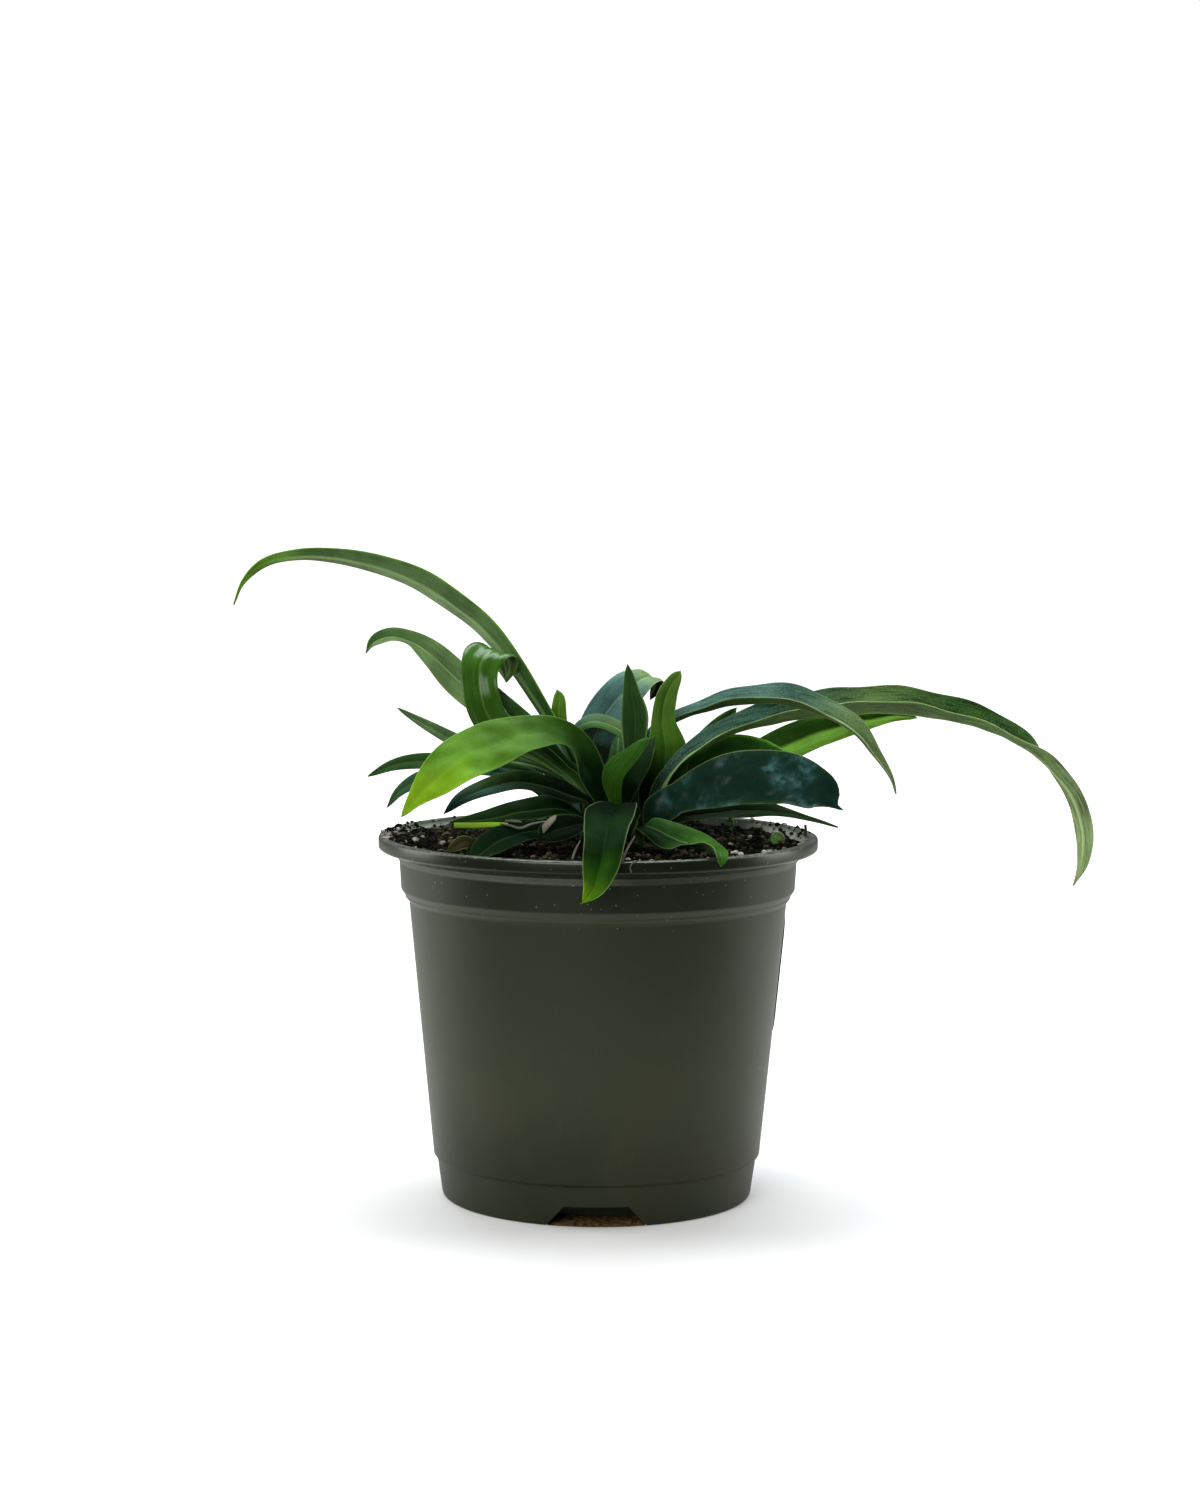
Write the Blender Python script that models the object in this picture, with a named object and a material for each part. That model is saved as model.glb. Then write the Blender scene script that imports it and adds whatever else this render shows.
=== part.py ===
"""A potted strap-leaved fern: round nursery pot, soil, and one solid for each frond.

Sizes below are millimetres. The origin is the centre of the pot's base, +Z is up
and -Y is the front, the side that the wide gap in the foot faces.
"""
import math

import bmesh
import bpy
import numpy as np

MM = 0.001
GAP = 0.3               # clear space between neighbouring pieces

# Pot
RIM_RADIUS = 54.0
RIM_TOP = 89.3
RIM_FACE = 3.5          # height of the upright outer face of the rim
RIM_FLAT = 2.2          # width of the flat top of the rim
WALL = 1.2
FLOOR = 1.6
BAND_TOP_RADIUS = 48.4  # stacking band under the rim
BAND_TOP = 83.0
BAND_LOW_RADIUS = 47.9
BAND_LOW = 75.5
WALL_TOP_RADIUS = 46.4
WALL_TOP = 73.2
WALL_LOW_RADIUS = 40.3
WALL_LOW = 10.6
SKIRT_TOP_RADIUS = 39.4
SKIRT_TOP = 9.0
SKIRT_LOW_RADIUS = 38.1
FOOT_ROUND = 1.0
POT_SIDES = 60

# Drain channels: three raised arches that run in from the foot, each with a hole
CHANNEL_ANGLES = (-90.0, 30.0, 150.0)
CHANNEL_HEIGHT = 4.0
CHANNEL_INNER = 27.0
CHANNEL_HALF_LOW = 11.5
CHANNEL_HALF_TOP = 8.0
DRAIN_HOLE_RADIUS = 3.0
DRAIN_HOLE_AT = 32.0

# Soil
SOIL_EDGE_RADIUS = 48.9
SOIL_EDGE_HEIGHT = 86.4
SOIL_MOUND = 0.8        # extra height under the crown
SOIL_TILT = 0.7         # the left side is fuller than the right
SOIL_LUMPS = 0.35
CROWN = (6.0, 3.0)      # middle of the cluster of stipes

# Stipes and blades
STIPE_FOOT = 82.0       # height of the buried end of every stipe
STIPE_NECK = 88.0       # height where a stipe starts to lean
STIPE_HALF = 0.7
STIPE_THICK = 1.4
BLADE_THICK = 0.7
HOLE_RADIUS = 1.5
STATION_STEP = 5.0      # spacing of the rings along a midrib
STATION_LIMITS = (9, 28)
WAVE = 0.3              # height of the waves in a blade's margin
WAVE_LENGTH = 17.0
WAVE_SHIFT = 1.3        # radians between the waves of the two margins
FOLD_AT_MIDRIB = 0.55   # share of the fold that lies right beside the midrib
BLADE_SPREAD = 1.4      # a blade is at its thinnest where it is this much wider than its stipe
ACROSS = (-1.0, -0.5, 0.0, 0.5, 1.0)

# Curled young frond by the right wall
CROZIER_AT = (44.0, 0.0)
CROZIER_RADIUS = 2.1
CROZIER_STEM = 0.8
CROZIER_HEIGHT = 88.5
CROZIER_SIDES = 12

# Plain label on the back right of the wall
LABEL_THICK = 0.6
LABEL_LOW = 39.5
LABEL_TOP = 69.7
LABEL_START = 5.0
LABEL_END = 62.0
LABEL_CORNER = 5.0
LABEL_COLUMNS = 14

POT_GREY = (53, 57, 45)
SOIL_BROWN = (31, 29, 22)
LABEL_GREY = (40, 46, 38)
LEAF_COLOURS = {
    "bright": (108, 152, 50),
    "green": (78, 112, 58),
    "dark": (28, 50, 26),
    "blue": (72, 105, 92),
}

# Every frond: where its stipe stands, the way its upper face looks there, and its
# midrib from the neck to the tip as x, y, z, half width, fold of the two halves in
# degrees, and the direction of the upper face.
FRONDS = {
    "frond_long_left": {
        "leaf": "green", "root": (-3, 6), "face": (1, 0.1, 0.3),
        "rows": [
            (-4, 8.5, 99.5, 1.1, 30, 1, 0.2, 0.4), (-8, 10, 109, 1.7, 30, 0.6, 0.6, 0.4),
            (-13, 11, 117, 2.2, 28, 0.4, 0.8, 0.4), (-20.5, 12, 128.5, 2.9, 28, 0.3, 0.8, 0.5),
            (-28, 13, 138, 3.5, 28, 0.1, 0.8, 0.6), (-36, 14, 144.5, 3.8, 28, 0, 0.8, 0.6),
            (-44.5, 14, 150, 3.9, 28, 0, 0.8, 0.6), (-54.5, 14, 154, 3.4, 26, 0, 0.8, 0.6),
            (-64.5, 13, 156.5, 2.7, 24, 0, 0.8, 0.6), (-74.5, 12, 157, 1.9, 24, 0, 0.7, 0.7),
            (-83, 11, 155, 1.2, 20, 0, 0.7, 0.7), (-88, 10, 150.5, 0.8, 15, -0.6, 0.4, 0.5),
            (-90.5, 9, 145, 0.4, 10, -1, 0, 0.2),
        ],
    },
    "frond_hook_left": {
        "leaf": "green", "root": (0.5, 6), "face": (1, -0.1, 0.3),
        "rows": [
            (-2.5, 6, 99, 1.1, 25, 0.9, -0.4, 0.3), (-9.5, 6, 106.5, 2.2, 20, 0.5, -0.8, 0.3),
            (-19.5, 6, 115.5, 3.8, 15, 0.2, -0.9, 0.3), (-27, 7, 120.5, 4.8, 15, 0.1, -0.9, 0.4),
            (-35, 8, 126.5, 4.6, 15, 0.1, -0.85, 0.5), (-41.5, 8, 132.5, 4.1, 15, 0.1, -0.7, 0.7),
            (-47, 8, 136, 3.6, 25, 0, -0.35, 0.9), (-51.5, 7, 137.5, 2.6, 30, 0, 0.1, 1),
            (-55.5, 6, 136.5, 1.6, 25, -0.5, 0.2, 0.8), (-57.5, 5, 133.5, 0.4, 15, -0.9, -0.3, 0.3),
        ],
    },
    "frond_curl_left": {
        "leaf": "green", "root": (-1, 2.5), "face": (0.8, -0.5, 0),
        "rows": [
            (-4, 2, 99, 1.1, 30, 0.8, -0.6, 0.1), (-12, 1, 107, 2.6, 30, 0.5, -0.8, 0.2),
            (-22, 1, 113, 4, 25, 0.2, -0.95, 0.2), (-27, 1, 118, 4.6, 22, 0.1, -0.97, 0.1),
            (-29, 1, 123.5, 4.7, 22, 0.1, -0.97, 0), (-29.5, 2, 129, 4.8, 18, 0.1, -0.92, 0.2),
            (-28.5, 4, 132, 4.4, 12, 0.15, -0.6, 0.8), (-26.5, 7, 133.5, 4, 8, 0.3, -0.1, 1),
            (-25, 9.5, 132.5, 3.2, 5, 0.5, 0.5, 0.7), (-23.5, 10.5, 130, 2, 10, 0.5, 0.8, 0.2),
            (-23, 10.5, 126, 0.4, 10, 0.5, 0.8, 0),
        ],
    },
    "frond_slim_left_high": {
        "leaf": "green", "root": (-3.5, 9.5), "face": (0.8, -0.3, 0.3),
        "rows": [
            (-5, 10.5, 98, 0.9, 15, 0.6, -0.5, 0.4), (-13.5, 11.5, 104, 1.2, 20, 0.2, -0.7, 0.6),
            (-24.5, 12, 107, 1.7, 20, 0, -0.7, 0.7), (-36, 12, 111, 2, 20, 0, -0.7, 0.7),
            (-44, 11, 115.5, 1.6, 20, 0.2, -0.7, 0.7), (-50, 10, 119.5, 0.35, 10, 0.3, -0.7, 0.7),
        ],
    },
    "frond_slim_left_mid": {
        "leaf": "green", "root": (-6.5, 6.5), "face": (0.8, -0.3, 0.3),
        "rows": [
            (-8, 6.5, 96.5, 1, 15, 0.5, -0.5, 0.5), (-17, 6, 102, 1.8, 15, 0.1, -0.7, 0.7),
            (-32, 5, 105.5, 2.4, 15, 0, -0.7, 0.7), (-43, 4, 106.5, 2.6, 15, 0, -0.7, 0.7),
            (-51, 4, 105.5, 1.8, 15, -0.1, -0.7, 0.7), (-57, 4, 103, 0.35, 10, -0.3, -0.7, 0.6),
        ],
    },
    "frond_slim_left_low": {
        "leaf": "blue", "root": (-7.5, 3), "face": (0.8, -0.3, 0.3),
        "rows": [
            (-10.5, 3, 95.5, 1, 15, 0.4, -0.5, 0.6), (-20.5, 1, 101, 1.8, 15, 0.1, -0.7, 0.7),
            (-33.5, -2, 104, 2.3, 15, 0, -0.7, 0.7), (-43.5, -5, 103, 2.4, 15, -0.2, -0.7, 0.6),
            (-48.5, -6, 100, 1.6, 15, -0.5, -0.7, 0.5), (-51.5, -7, 96.5, 0.35, 10, -0.7, -0.7, 0.3),
        ],
    },
    "frond_broad_bright_left": {
        "leaf": "bright", "root": (2.5, -1.5), "face": (0.8, -0.5, 0.1),
        "rows": [
            (0, -4, 98.5, 2, 40, 0.85, -0.5, 0.1), (-2, -7, 104.5, 3.2, 42, 0.8, -0.5, 0.2),
            (-5, -10, 110.5, 4.6, 35, 0.6, -0.6, 0.5), (-10.5, -14, 114.5, 5.2, 25, 0.2, -0.6, 0.8),
            (-17.5, -18, 115.5, 5.6, 12, 0, -0.65, 0.75), (-24.5, -22, 114, 6, 8, -0.1, -0.7, 0.7),
            (-32.5, -26, 110.5, 6, 8, -0.2, -0.75, 0.6), (-38.5, -29, 105.5, 4.6, 10, -0.3, -0.8, 0.5),
            (-43.5, -31, 100.5, 2.2, 12, -0.4, -0.8, 0.4), (-46.5, -32, 97, 0.4, 10, -0.5, -0.8, 0.3),
        ],
    },
    "frond_arch_low_left": {
        "leaf": "blue", "root": (-2, -1.5), "face": (0.8, -0.3, 0.3),
        "rows": [
            (-2.5, -5, 97, 1.2, 25, 0.5, -0.5, 0.6), (-7.5, -8, 101, 2.4, 22, 0.3, -0.6, 0.7),
            (-13, -11, 103.5, 3.4, 20, 0.1, -0.65, 0.75), (-20, -14, 105, 4, 18, 0, -0.7, 0.7),
            (-27, -17, 103.5, 3.6, 18, -0.1, -0.7, 0.7), (-32.5, -19, 100.5, 2, 18, -0.4, -0.7, 0.5),
            (-37, -20, 96.5, 0.4, 10, -0.6, -0.7, 0.3),
        ],
    },
    "frond_flat_left": {
        "leaf": "dark", "root": (-4, -5), "face": (1, 0.3, 0.2),
        "rows": [
            (-3.5, -7.5, 93, 1.3, 20, 0.6, 0, 0.8), (-9.5, -10.5, 95, 2.6, 18, 0.2, -0.4, 0.9),
            (-18, -12.5, 95.5, 4, 15, 0, -0.5, 0.85), (-26, -16.5, 95.5, 3.9, 15, 0, -0.5, 0.85),
            (-32, -19.5, 95, 2.4, 15, 0, -0.5, 0.85), (-36.5, -21, 96, 0.4, 10, -0.2, -0.5, 0.8),
        ],
    },
    "frond_droop_front_left": {
        "leaf": "dark", "root": (-1, -8), "face": (0.7, 0.7, 0.2),
        "rows": [
            (-2.5, -12, 91.5, 1.4, 20, 0.4, 0.2, 0.9), (-8.5, -16, 92.5, 2.8, 18, 0.1, -0.5, 0.85),
            (-16.5, -20, 93, 4, 15, -0.1, -0.65, 0.75), (-22.5, -26, 91.5, 4.5, 15, -0.2, -0.7, 0.7),
            (-27, -31, 89, 3.2, 15, -0.3, -0.75, 0.6), (-29, -34, 87.5, 0.4, 10, -0.4, -0.8, 0.4),
        ],
    },
    "frond_torn_front_left": {
        "leaf": "dark", "root": (1.5, -11.5), "face": (0.5, 0.8, 0.2),
        "rows": [
            (-1.5, -15, 93, 1.5, 20, 0.3, 0.1, 0.95), (-5, -19.5, 94, 2.8, 15, 0, -0.5, 0.85),
            (-9, -24, 93, 2.9, 12, -0.2, -0.75, 0.6), (-13, -28, 91, 0.5, 10, -0.3, -0.8, 0.5),
        ],
    },
    "frond_young_back_left": {
        "leaf": "bright", "root": (0.5, 12), "face": (0.3, -0.9, 0),
        "rows": [
            (-1.5, 13, 96.5, 0.9, 15, 0.3, -0.9, 0.1), (-5, 14, 104, 1.2, 20, 0.3, -0.9, 0.1),
            (-9, 14.5, 112, 1.7, 20, 0.2, -0.95, 0.1), (-10, 14.5, 117.5, 2, 18, 0, -1, 0),
            (-10, 14.5, 122, 1.5, 15, 0, -1, 0), (-10.5, 14.5, 124, 0.7, 10, 0, -1, 0),
        ],
    },
    "frond_blue_back": {
        "leaf": "blue", "root": (4, 12.5), "face": (0, -1, 0),
        "rows": [
            (1.5, 14, 96.5, 1.2, 20, 0, -1, 0.1), (-1, 16, 105, 3, 20, 0, -1, 0.1),
            (-0.5, 17, 112.5, 4.6, 18, 0.1, -1, 0.2), (2.5, 18, 118.5, 5.2, 15, 0.1, -0.95, 0.3),
            (7, 19, 123.5, 5, 15, 0.1, -0.8, 0.6), (11, 22, 126, 4.2, 12, 0.2, -0.3, 0.9),
            (13.5, 26, 126, 3.2, 12, 0.6, 0.4, 0.6), (14.5, 28, 124, 2, 10, 0.6, 0.7, 0.2),
            (13, 28, 120.5, 0.4, 10, 0.3, 0.9, -0.2),
        ],
    },
    "frond_blue_arch": {
        "leaf": "blue", "root": (4.5, 8.8), "face": (0.5, -0.7, 0),
        "rows": [
            (6, 10, 98, 1, 20, 0.5, -0.8, 0.2), (8, 11, 106.5, 1.6, 20, 0.4, -0.8, 0.3),
            (7, 12, 112, 2.2, 20, 0.2, -0.7, 0.6), (3, 12, 115, 2.4, 18, 0, -0.7, 0.7),
            (-1.5, 12, 116, 2.3, 18, -0.1, -0.7, 0.7), (-5, 12.5, 114.5, 1.6, 15, -0.3, -0.7, 0.6),
            (-7, 12.5, 112.5, 0.4, 10, -0.4, -0.7, 0.5),
        ],
    },
    "frond_upright_dark": {
        "leaf": "dark", "root": (7.5, 4.5), "face": (-0.1, -1, 0),
        "rows": [
            (9, 5, 97.5, 1.8, 25, -0.1, -1, 0.05), (9.5, 6, 104.5, 2.7, 25, -0.15, -1, 0.05),
            (9, 6, 112, 3.2, 22, -0.2, -1, 0.05), (9, 6, 118.5, 3.6, 18, -0.2, -1, 0.05),
            (8, 6, 124.5, 2.2, 18, -0.2, -1, 0.05), (7, 6, 131, 0.4, 10, -0.2, -1, 0.05),
        ],
    },
    "frond_upright_bright": {
        "leaf": "bright", "root": (12, 3), "face": (0.2, -1, 0),
        "rows": [
            (15, 3, 97.5, 2.2, 30, 0.2, -1, 0.1), (16.5, 2.5, 104, 4, 30, 0.2, -1, 0.1),
            (16.5, 2, 110, 4.3, 28, 0.2, -1, 0.1), (15.5, 2, 117.5, 3.2, 28, 0.2, -1, 0.1),
            (16.5, 2, 123.5, 2.6, 25, 0.2, -1, 0.1), (18.5, 2, 127.5, 1.6, 20, 0.2, -1, 0.1),
            (20, 2, 129.5, 0.6, 15, 0.2, -1, 0.1),
        ],
    },
    "frond_short_front": {
        "leaf": "bright", "root": (7.5, -4.5), "face": (-0.3, -0.9, 0),
        "rows": [
            (6, -8, 96, 1.4, 20, -0.3, -0.95, 0.2), (5.5, -10, 100, 3.4, 15, -0.3, -0.9, 0.2),
            (6.5, -11, 104.5, 5, 12, -0.3, -0.9, 0.3), (9, -11, 108.5, 4.2, 12, -0.2, -0.9, 0.4),
            (11.5, -9, 112, 2.4, 12, -0.2, -0.9, 0.4), (13.5, -7, 114, 0.4, 8, -0.1, -0.9, 0.4),
        ],
    },
    "frond_over_rim": {
        "leaf": "green", "root": (5.5, -9.5), "face": (0, 1, 0.2),
        "rows": [
            (6.5, -13, 93.5, 1.4, 25, 0, 0.7, 0.7), (5.5, -19, 97.5, 3, 20, 0, 0.2, 1),
            (4.5, -26, 99, 4.8, 15, -0.05, -0.3, 0.95), (3, -34, 98.5, 5.4, 10, -0.1, -0.6, 0.8),
            (2, -46, 96.5, 5.2, 10, -0.1, -0.85, 0.6), (1.5, -54, 93.5, 4.8, 10, -0.1, -0.97, 0.3),
            (0.5, -58, 88.5, 4.2, 10, -0.1, -1, 0.1), (-1, -59, 84, 2.6, 10, -0.1, -1, 0),
            (-3.5, -59, 80.5, 0.4, 10, -0.1, -1, 0),
        ],
    },
    "frond_arch_right": {
        "leaf": "blue", "root": (10.5, 8), "face": (-0.4, -0.8, 0.2),
        "rows": [
            (11, 8.5, 98.5, 1.1, 25, -0.5, -0.8, 0.2), (10.5, 9.5, 105.5, 1.6, 30, -0.4, -0.6, 0.5),
            (13.5, 8.5, 113, 2.2, 30, -0.2, -0.5, 0.8), (19, 7, 117, 2.8, 34, 0, -0.4, 0.9),
            (26, 5, 119.5, 3.6, 38, 0, -0.36, 0.93), (34.5, 2, 121.5, 4.8, 40, 0, -0.36, 0.93),
            (44.5, -1, 122, 5.6, 40, 0, -0.36, 0.93), (54, -3, 119.5, 5, 38, 0.1, -0.4, 0.9),
            (62, -5, 115.5, 4, 32, 0.3, -0.4, 0.8), (67.5, -6, 109.5, 2.4, 25, 0.6, -0.4, 0.6),
            (71, -7, 104.5, 1.2, 20, 0.8, -0.4, 0.4), (72.5, -7, 100.5, 0.4, 10, 0.9, -0.4, 0.2),
        ],
    },
    "frond_long_right": {
        "leaf": "blue", "root": (15, 0), "face": (-0.5, -0.8, 0.2),
        "rows": [
            (15, -1.5, 99.5, 1.5, 30, -0.5, -0.8, 0.3), (19, -2, 106, 2.6, 40, -0.4, -0.6, 0.7),
            (25.5, -1, 111, 3.4, 44, -0.2, -0.5, 0.9), (35, 2, 115, 4.8, 46, -0.1, -0.4, 0.9),
            (47.5, 6, 117.5, 6, 48, 0, -0.38, 0.93), (60, 9, 118.5, 6.9, 50, 0, -0.38, 0.93),
            (72.5, 11, 119, 6.9, 50, 0, -0.38, 0.93), (85, 12, 117.5, 6.4, 48, 0.1, -0.4, 0.9),
            (96, 12, 115, 5.4, 44, 0.2, -0.4, 0.85), (105, 12, 111, 4.4, 38, 0.4, -0.3, 0.8),
            (114, 12, 104.5, 3.6, 30, 0.7, 0.1, 0.6), (120, 11, 97.5, 2.8, 25, 0.9, 0.3, 0.3),
            (123, 10, 89, 2.2, 20, 1, 0.2, 0), (121.5, 9, 81.5, 1.2, 15, 1, 0.2, -0.2),
            (118.5, 9, 76, 0.4, 10, 1, 0.2, -0.3),
        ],
    },
    "frond_bright_right": {
        "leaf": "bright", "root": (16, 8.5), "face": (-0.4, -0.8, 0.3),
        "rows": [
            (15.5, 9, 95.5, 1.2, 20, -0.4, -0.8, 0.4), (25.5, 11, 103, 2.2, 20, -0.2, -0.9, 0.4),
            (38, 13, 107, 3.8, 18, -0.1, -0.9, 0.5), (46.5, 15, 110, 4.8, 15, -0.1, -0.9, 0.5),
            (55.5, 17, 113.5, 4.5, 15, -0.1, -0.9, 0.5), (65.5, 18, 116, 3.2, 15, -0.1, -0.9, 0.5),
            (74, 19, 117.5, 1.8, 15, 0, -0.9, 0.5), (80, 19, 117, 0.4, 10, 0, -0.9, 0.5),
        ],
    },
    "frond_tip_back_right": {
        "leaf": "green", "root": (13.5, 11.5), "face": (-0.3, -0.8, 0.3),
        "rows": [
            (14, 14, 96.5, 0.9, 15, -0.3, -0.8, 0.4), (20.5, 15, 105, 1.2, 15, -0.3, -0.8, 0.4),
            (26.5, 16, 112, 1.8, 18, -0.3, -0.9, 0.4), (31.5, 17, 116, 2.1, 15, -0.3, -0.9, 0.4),
            (34.5, 17, 119.5, 0.5, 10, -0.3, -0.9, 0.3),
        ],
    },
    "frond_green_right": {
        "leaf": "green", "root": (18, 5), "face": (-0.4, -0.8, 0.3),
        "rows": [
            (17.5, 5.5, 96, 2, 20, -0.3, -0.85, 0.4), (22.5, 6, 103.5, 4.2, 15, -0.2, -0.9, 0.4),
            (31.5, 7, 107.5, 5.8, 12, -0.1, -0.9, 0.45), (40, 8, 107, 5.6, 10, 0, -0.9, 0.45),
            (47, 9, 104, 3.4, 10, 0.2, -0.9, 0.3), (51, 9, 99.5, 0.4, 10, 0.3, -0.9, 0.2),
        ],
    },
    "frond_broad_dark_right": {
        "leaf": "dark", "root": (13, -4), "face": (-0.3, -0.8, 0.4),
        "rows": [
            (14, -6, 95, 2.6, 15, -0.2, -0.9, 0.4), (20, -8, 99.5, 4.2, 5, -0.1, -0.92, 0.4),
            (27.5, -11, 103, 6.2, -8, -0.1, -0.92, 0.4), (36.5, -14, 105, 7.2, -12, 0, -0.9, 0.45),
            (45.5, -17, 105, 6.8, -14, 0.1, -0.9, 0.4), (52, -19, 103, 5.8, -14, 0.2, -0.9, 0.4),
            (55.5, -20, 101.5, 3.6, -10, 0.3, -0.9, 0.3), (58.5, -21, 99, 0.4, 0, 0.3, -0.9, 0.3),
        ],
    },
    "frond_thin_right": {
        "leaf": "dark", "root": (17, -3.5), "face": (-0.3, -0.4, 0.9),
        "rows": [
            (18, -3, 92.5, 1.3, 18, -0.1, -0.4, 0.9), (26, -3, 94.5, 3, 15, 0, -0.4, 0.9),
            (36, -3, 95.5, 3.8, 15, 0, -0.4, 0.9), (44.5, -3, 95, 3, 15, 0.1, -0.35, 0.9),
            (52, -2, 93.5, 1.4, 12, 0.2, -0.3, 0.9), (59, -1, 91.5, 0.4, 8, 0.2, -0.3, 0.9),
        ],
    },
    "frond_curl_front_right": {
        "leaf": "green", "root": (10, -9), "face": (-0.5, 0.8, 0.2),
        "rows": [
            (10.5, -11.5, 90.5, 1.1, 20, -0.3, 0.6, 0.7), (12.5, -15, 92.5, 2.2, 18, -0.05, -0.1, 1),
            (16.5, -19, 92, 3.4, 15, 0.05, -0.5, 0.85), (21, -25, 91.5, 3.8, 12, 0.15, -0.65, 0.75),
            (25, -33, 90.5, 2.8, 12, 0.4, -0.65, 0.65), (27.5, -38, 89.5, 1.8, 10, 0.6, -0.7, 0.4),
            (28, -41, 88, 0.5, 8, 0.5, -0.8, 0.2),
        ],
    },
    "sprout_front_left": {
        "leaf": "bright", "root": (-30.5, -26), "face": (0.2, -0.7, 0.7),
        "rows": [
            (-30, -27, 90, 1.2, 12, 0.1, -0.8, 0.6), (-32, -28, 90.5, 1.8, 12, 0, -0.85, 0.5),
            (-34, -29, 89.5, 1.4, 12, -0.1, -0.85, 0.5), (-36, -30, 88, 0.4, 8, -0.2, -0.85, 0.5),
        ],
    },
    "frond_back_far_left": {
        "leaf": "green", "root": (-7, 10.8), "face": (0, -1, 0.2),
        "rows": [
            (-12, 17, 96, 1.6, 20, 0.3, -0.6, 0.7), (-20, 26, 104, 3.6, 18, 0.2, -0.3, 0.9),
            (-29, 36, 106, 4.2, 15, -0.1, 0.1, 1), (-36, 45, 103, 3, 15, -0.3, 0.4, 0.9),
            (-41, 53, 97, 0.4, 10, -0.5, 0.6, 0.7),
        ],
    },
    "frond_back_left": {
        "leaf": "dark", "root": (-2.5, 14.5), "face": (0.2, -1, 0.2),
        "rows": [
            (-6, 21, 98, 1.6, 20, 0.1, -0.8, 0.6), (-11, 31, 107, 3.8, 18, 0.1, -0.4, 0.9),
            (-16, 43, 109, 4.4, 15, -0.1, 0.2, 1), (-20, 54, 104, 3.2, 15, -0.2, 0.6, 0.8),
            (-22, 62, 96, 0.4, 10, -0.2, 0.8, 0.5),
        ],
    },
    "frond_back_middle": {
        "leaf": "blue", "root": (4, 16), "face": (0, -1, 0.2),
        "rows": [
            (4.5, 22, 101, 2, 20, 0, -0.9, 0.5), (5, 31, 110, 4.4, 18, 0, -0.6, 0.8),
            (6, 43, 114, 5, 14, 0, -0.1, 1), (8, 55, 111, 4, 14, 0, 0.4, 0.9),
            (11, 65, 103, 0.4, 10, 0, 0.7, 0.7),
        ],
    },
    "frond_back_right": {
        "leaf": "green", "root": (12.5, 16), "face": (-0.2, -1, 0.2),
        "rows": [
            (15, 22, 97, 1.8, 20, -0.1, -0.9, 0.5), (19, 31, 104, 4, 18, -0.1, -0.5, 0.85),
            (24, 42, 107, 4.6, 15, 0, 0, 1), (30, 53, 104, 3.4, 15, 0.2, 0.5, 0.85),
            (35, 61, 97, 0.4, 10, 0.3, 0.7, 0.6),
        ],
    },
    "frond_back_far_right": {
        "leaf": "dark", "root": (18.5, 11.5), "face": (-0.4, -0.9, 0.2),
        "rows": [
            (23, 17, 94, 1.6, 20, -0.3, -0.7, 0.7), (30, 24, 101, 3.4, 18, -0.2, -0.3, 0.9),
            (38, 32, 103, 3.8, 15, 0, 0.1, 1), (46, 39, 100, 2.6, 15, 0.3, 0.4, 0.9),
            (52, 44, 95, 0.4, 10, 0.5, 0.5, 0.7),
        ],
    },
    "frond_back_low": {
        "leaf": "green", "root": (8.5, 13), "face": (0, -1, 0.2),
        "rows": [
            (9, 19, 92, 1.2, 20, 0, -0.7, 0.7), (10, 28, 97, 2.8, 18, 0, -0.3, 0.9),
            (11, 38, 98, 3.2, 15, 0, 0.1, 1), (12, 47, 95, 2.2, 15, 0, 0.4, 0.9),
            (12.5, 53, 91.5, 0.4, 10, 0, 0.5, 0.8),
        ],
    },
}


def srgb(colour):
    """Linear colour for a paint given as 0 to 255 values."""
    return tuple((c / 255.0) ** 2.2 for c in colour)


def finish(obj, colour, roughness, specular=0.5):
    material = bpy.data.materials.new(obj.name + "_finish")
    material.use_nodes = True
    shader = material.node_tree.nodes["Principled BSDF"]
    shader.inputs["Base Color"].default_value = (*srgb(colour), 1.0)
    shader.inputs["Roughness"].default_value = roughness
    shader.inputs["Metallic"].default_value = 0.0
    shader.inputs["Specular IOR Level"].default_value = specular
    obj.data.materials.clear()
    obj.data.materials.append(material)


def add_object(name, mesh):
    obj = bpy.data.objects.new(name, mesh)
    bpy.context.scene.collection.objects.link(obj)
    return obj


def from_bmesh(name, bm):
    mesh = bpy.data.meshes.new(name)
    bm.to_mesh(mesh)
    bm.free()
    return add_object(name, mesh)


def hidden(obj):
    """Mark a cutter or a helper shape."""
    obj.hide_render = True
    obj.display_type = "WIRE"
    return obj


def boolean(obj, other, operation):
    modifier = obj.modifiers.new(operation.title(), "BOOLEAN")
    modifier.operation = operation
    modifier.object = other
    modifier.solver = "EXACT"


def apply_modifiers(obj):
    """Replace an object's mesh with its evaluated one."""
    depsgraph = bpy.context.evaluated_depsgraph_get()
    mesh = bpy.data.meshes.new_from_object(obj.evaluated_get(depsgraph))
    obj.modifiers.clear()
    obj.data = mesh


def remove(objects):
    for obj in objects:
        bpy.data.objects.remove(obj)


def smooth(obj, degrees=35.0):
    obj.data.shade_smooth()
    obj.data.set_sharp_from_angle(angle=math.radians(degrees))


def turned(name, profile, sides, centre=(0.0, 0.0)):
    """Turn an open profile of (radius, height) points, from axis to axis, about Z."""
    bm = bmesh.new()
    points = [bm.verts.new((r * MM, 0.0, z * MM)) for r, z in profile]
    for start, end in zip(points, points[1:]):
        bm.edges.new((start, end))
    obj = from_bmesh(name, bm)
    obj.location = (centre[0] * MM, centre[1] * MM, 0.0)
    screw = obj.modifiers.new("Screw", "SCREW")
    screw.steps = sides
    screw.render_steps = sides
    screw.use_merge_vertices = True
    screw.merge_threshold = 0.00001
    return obj


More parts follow.
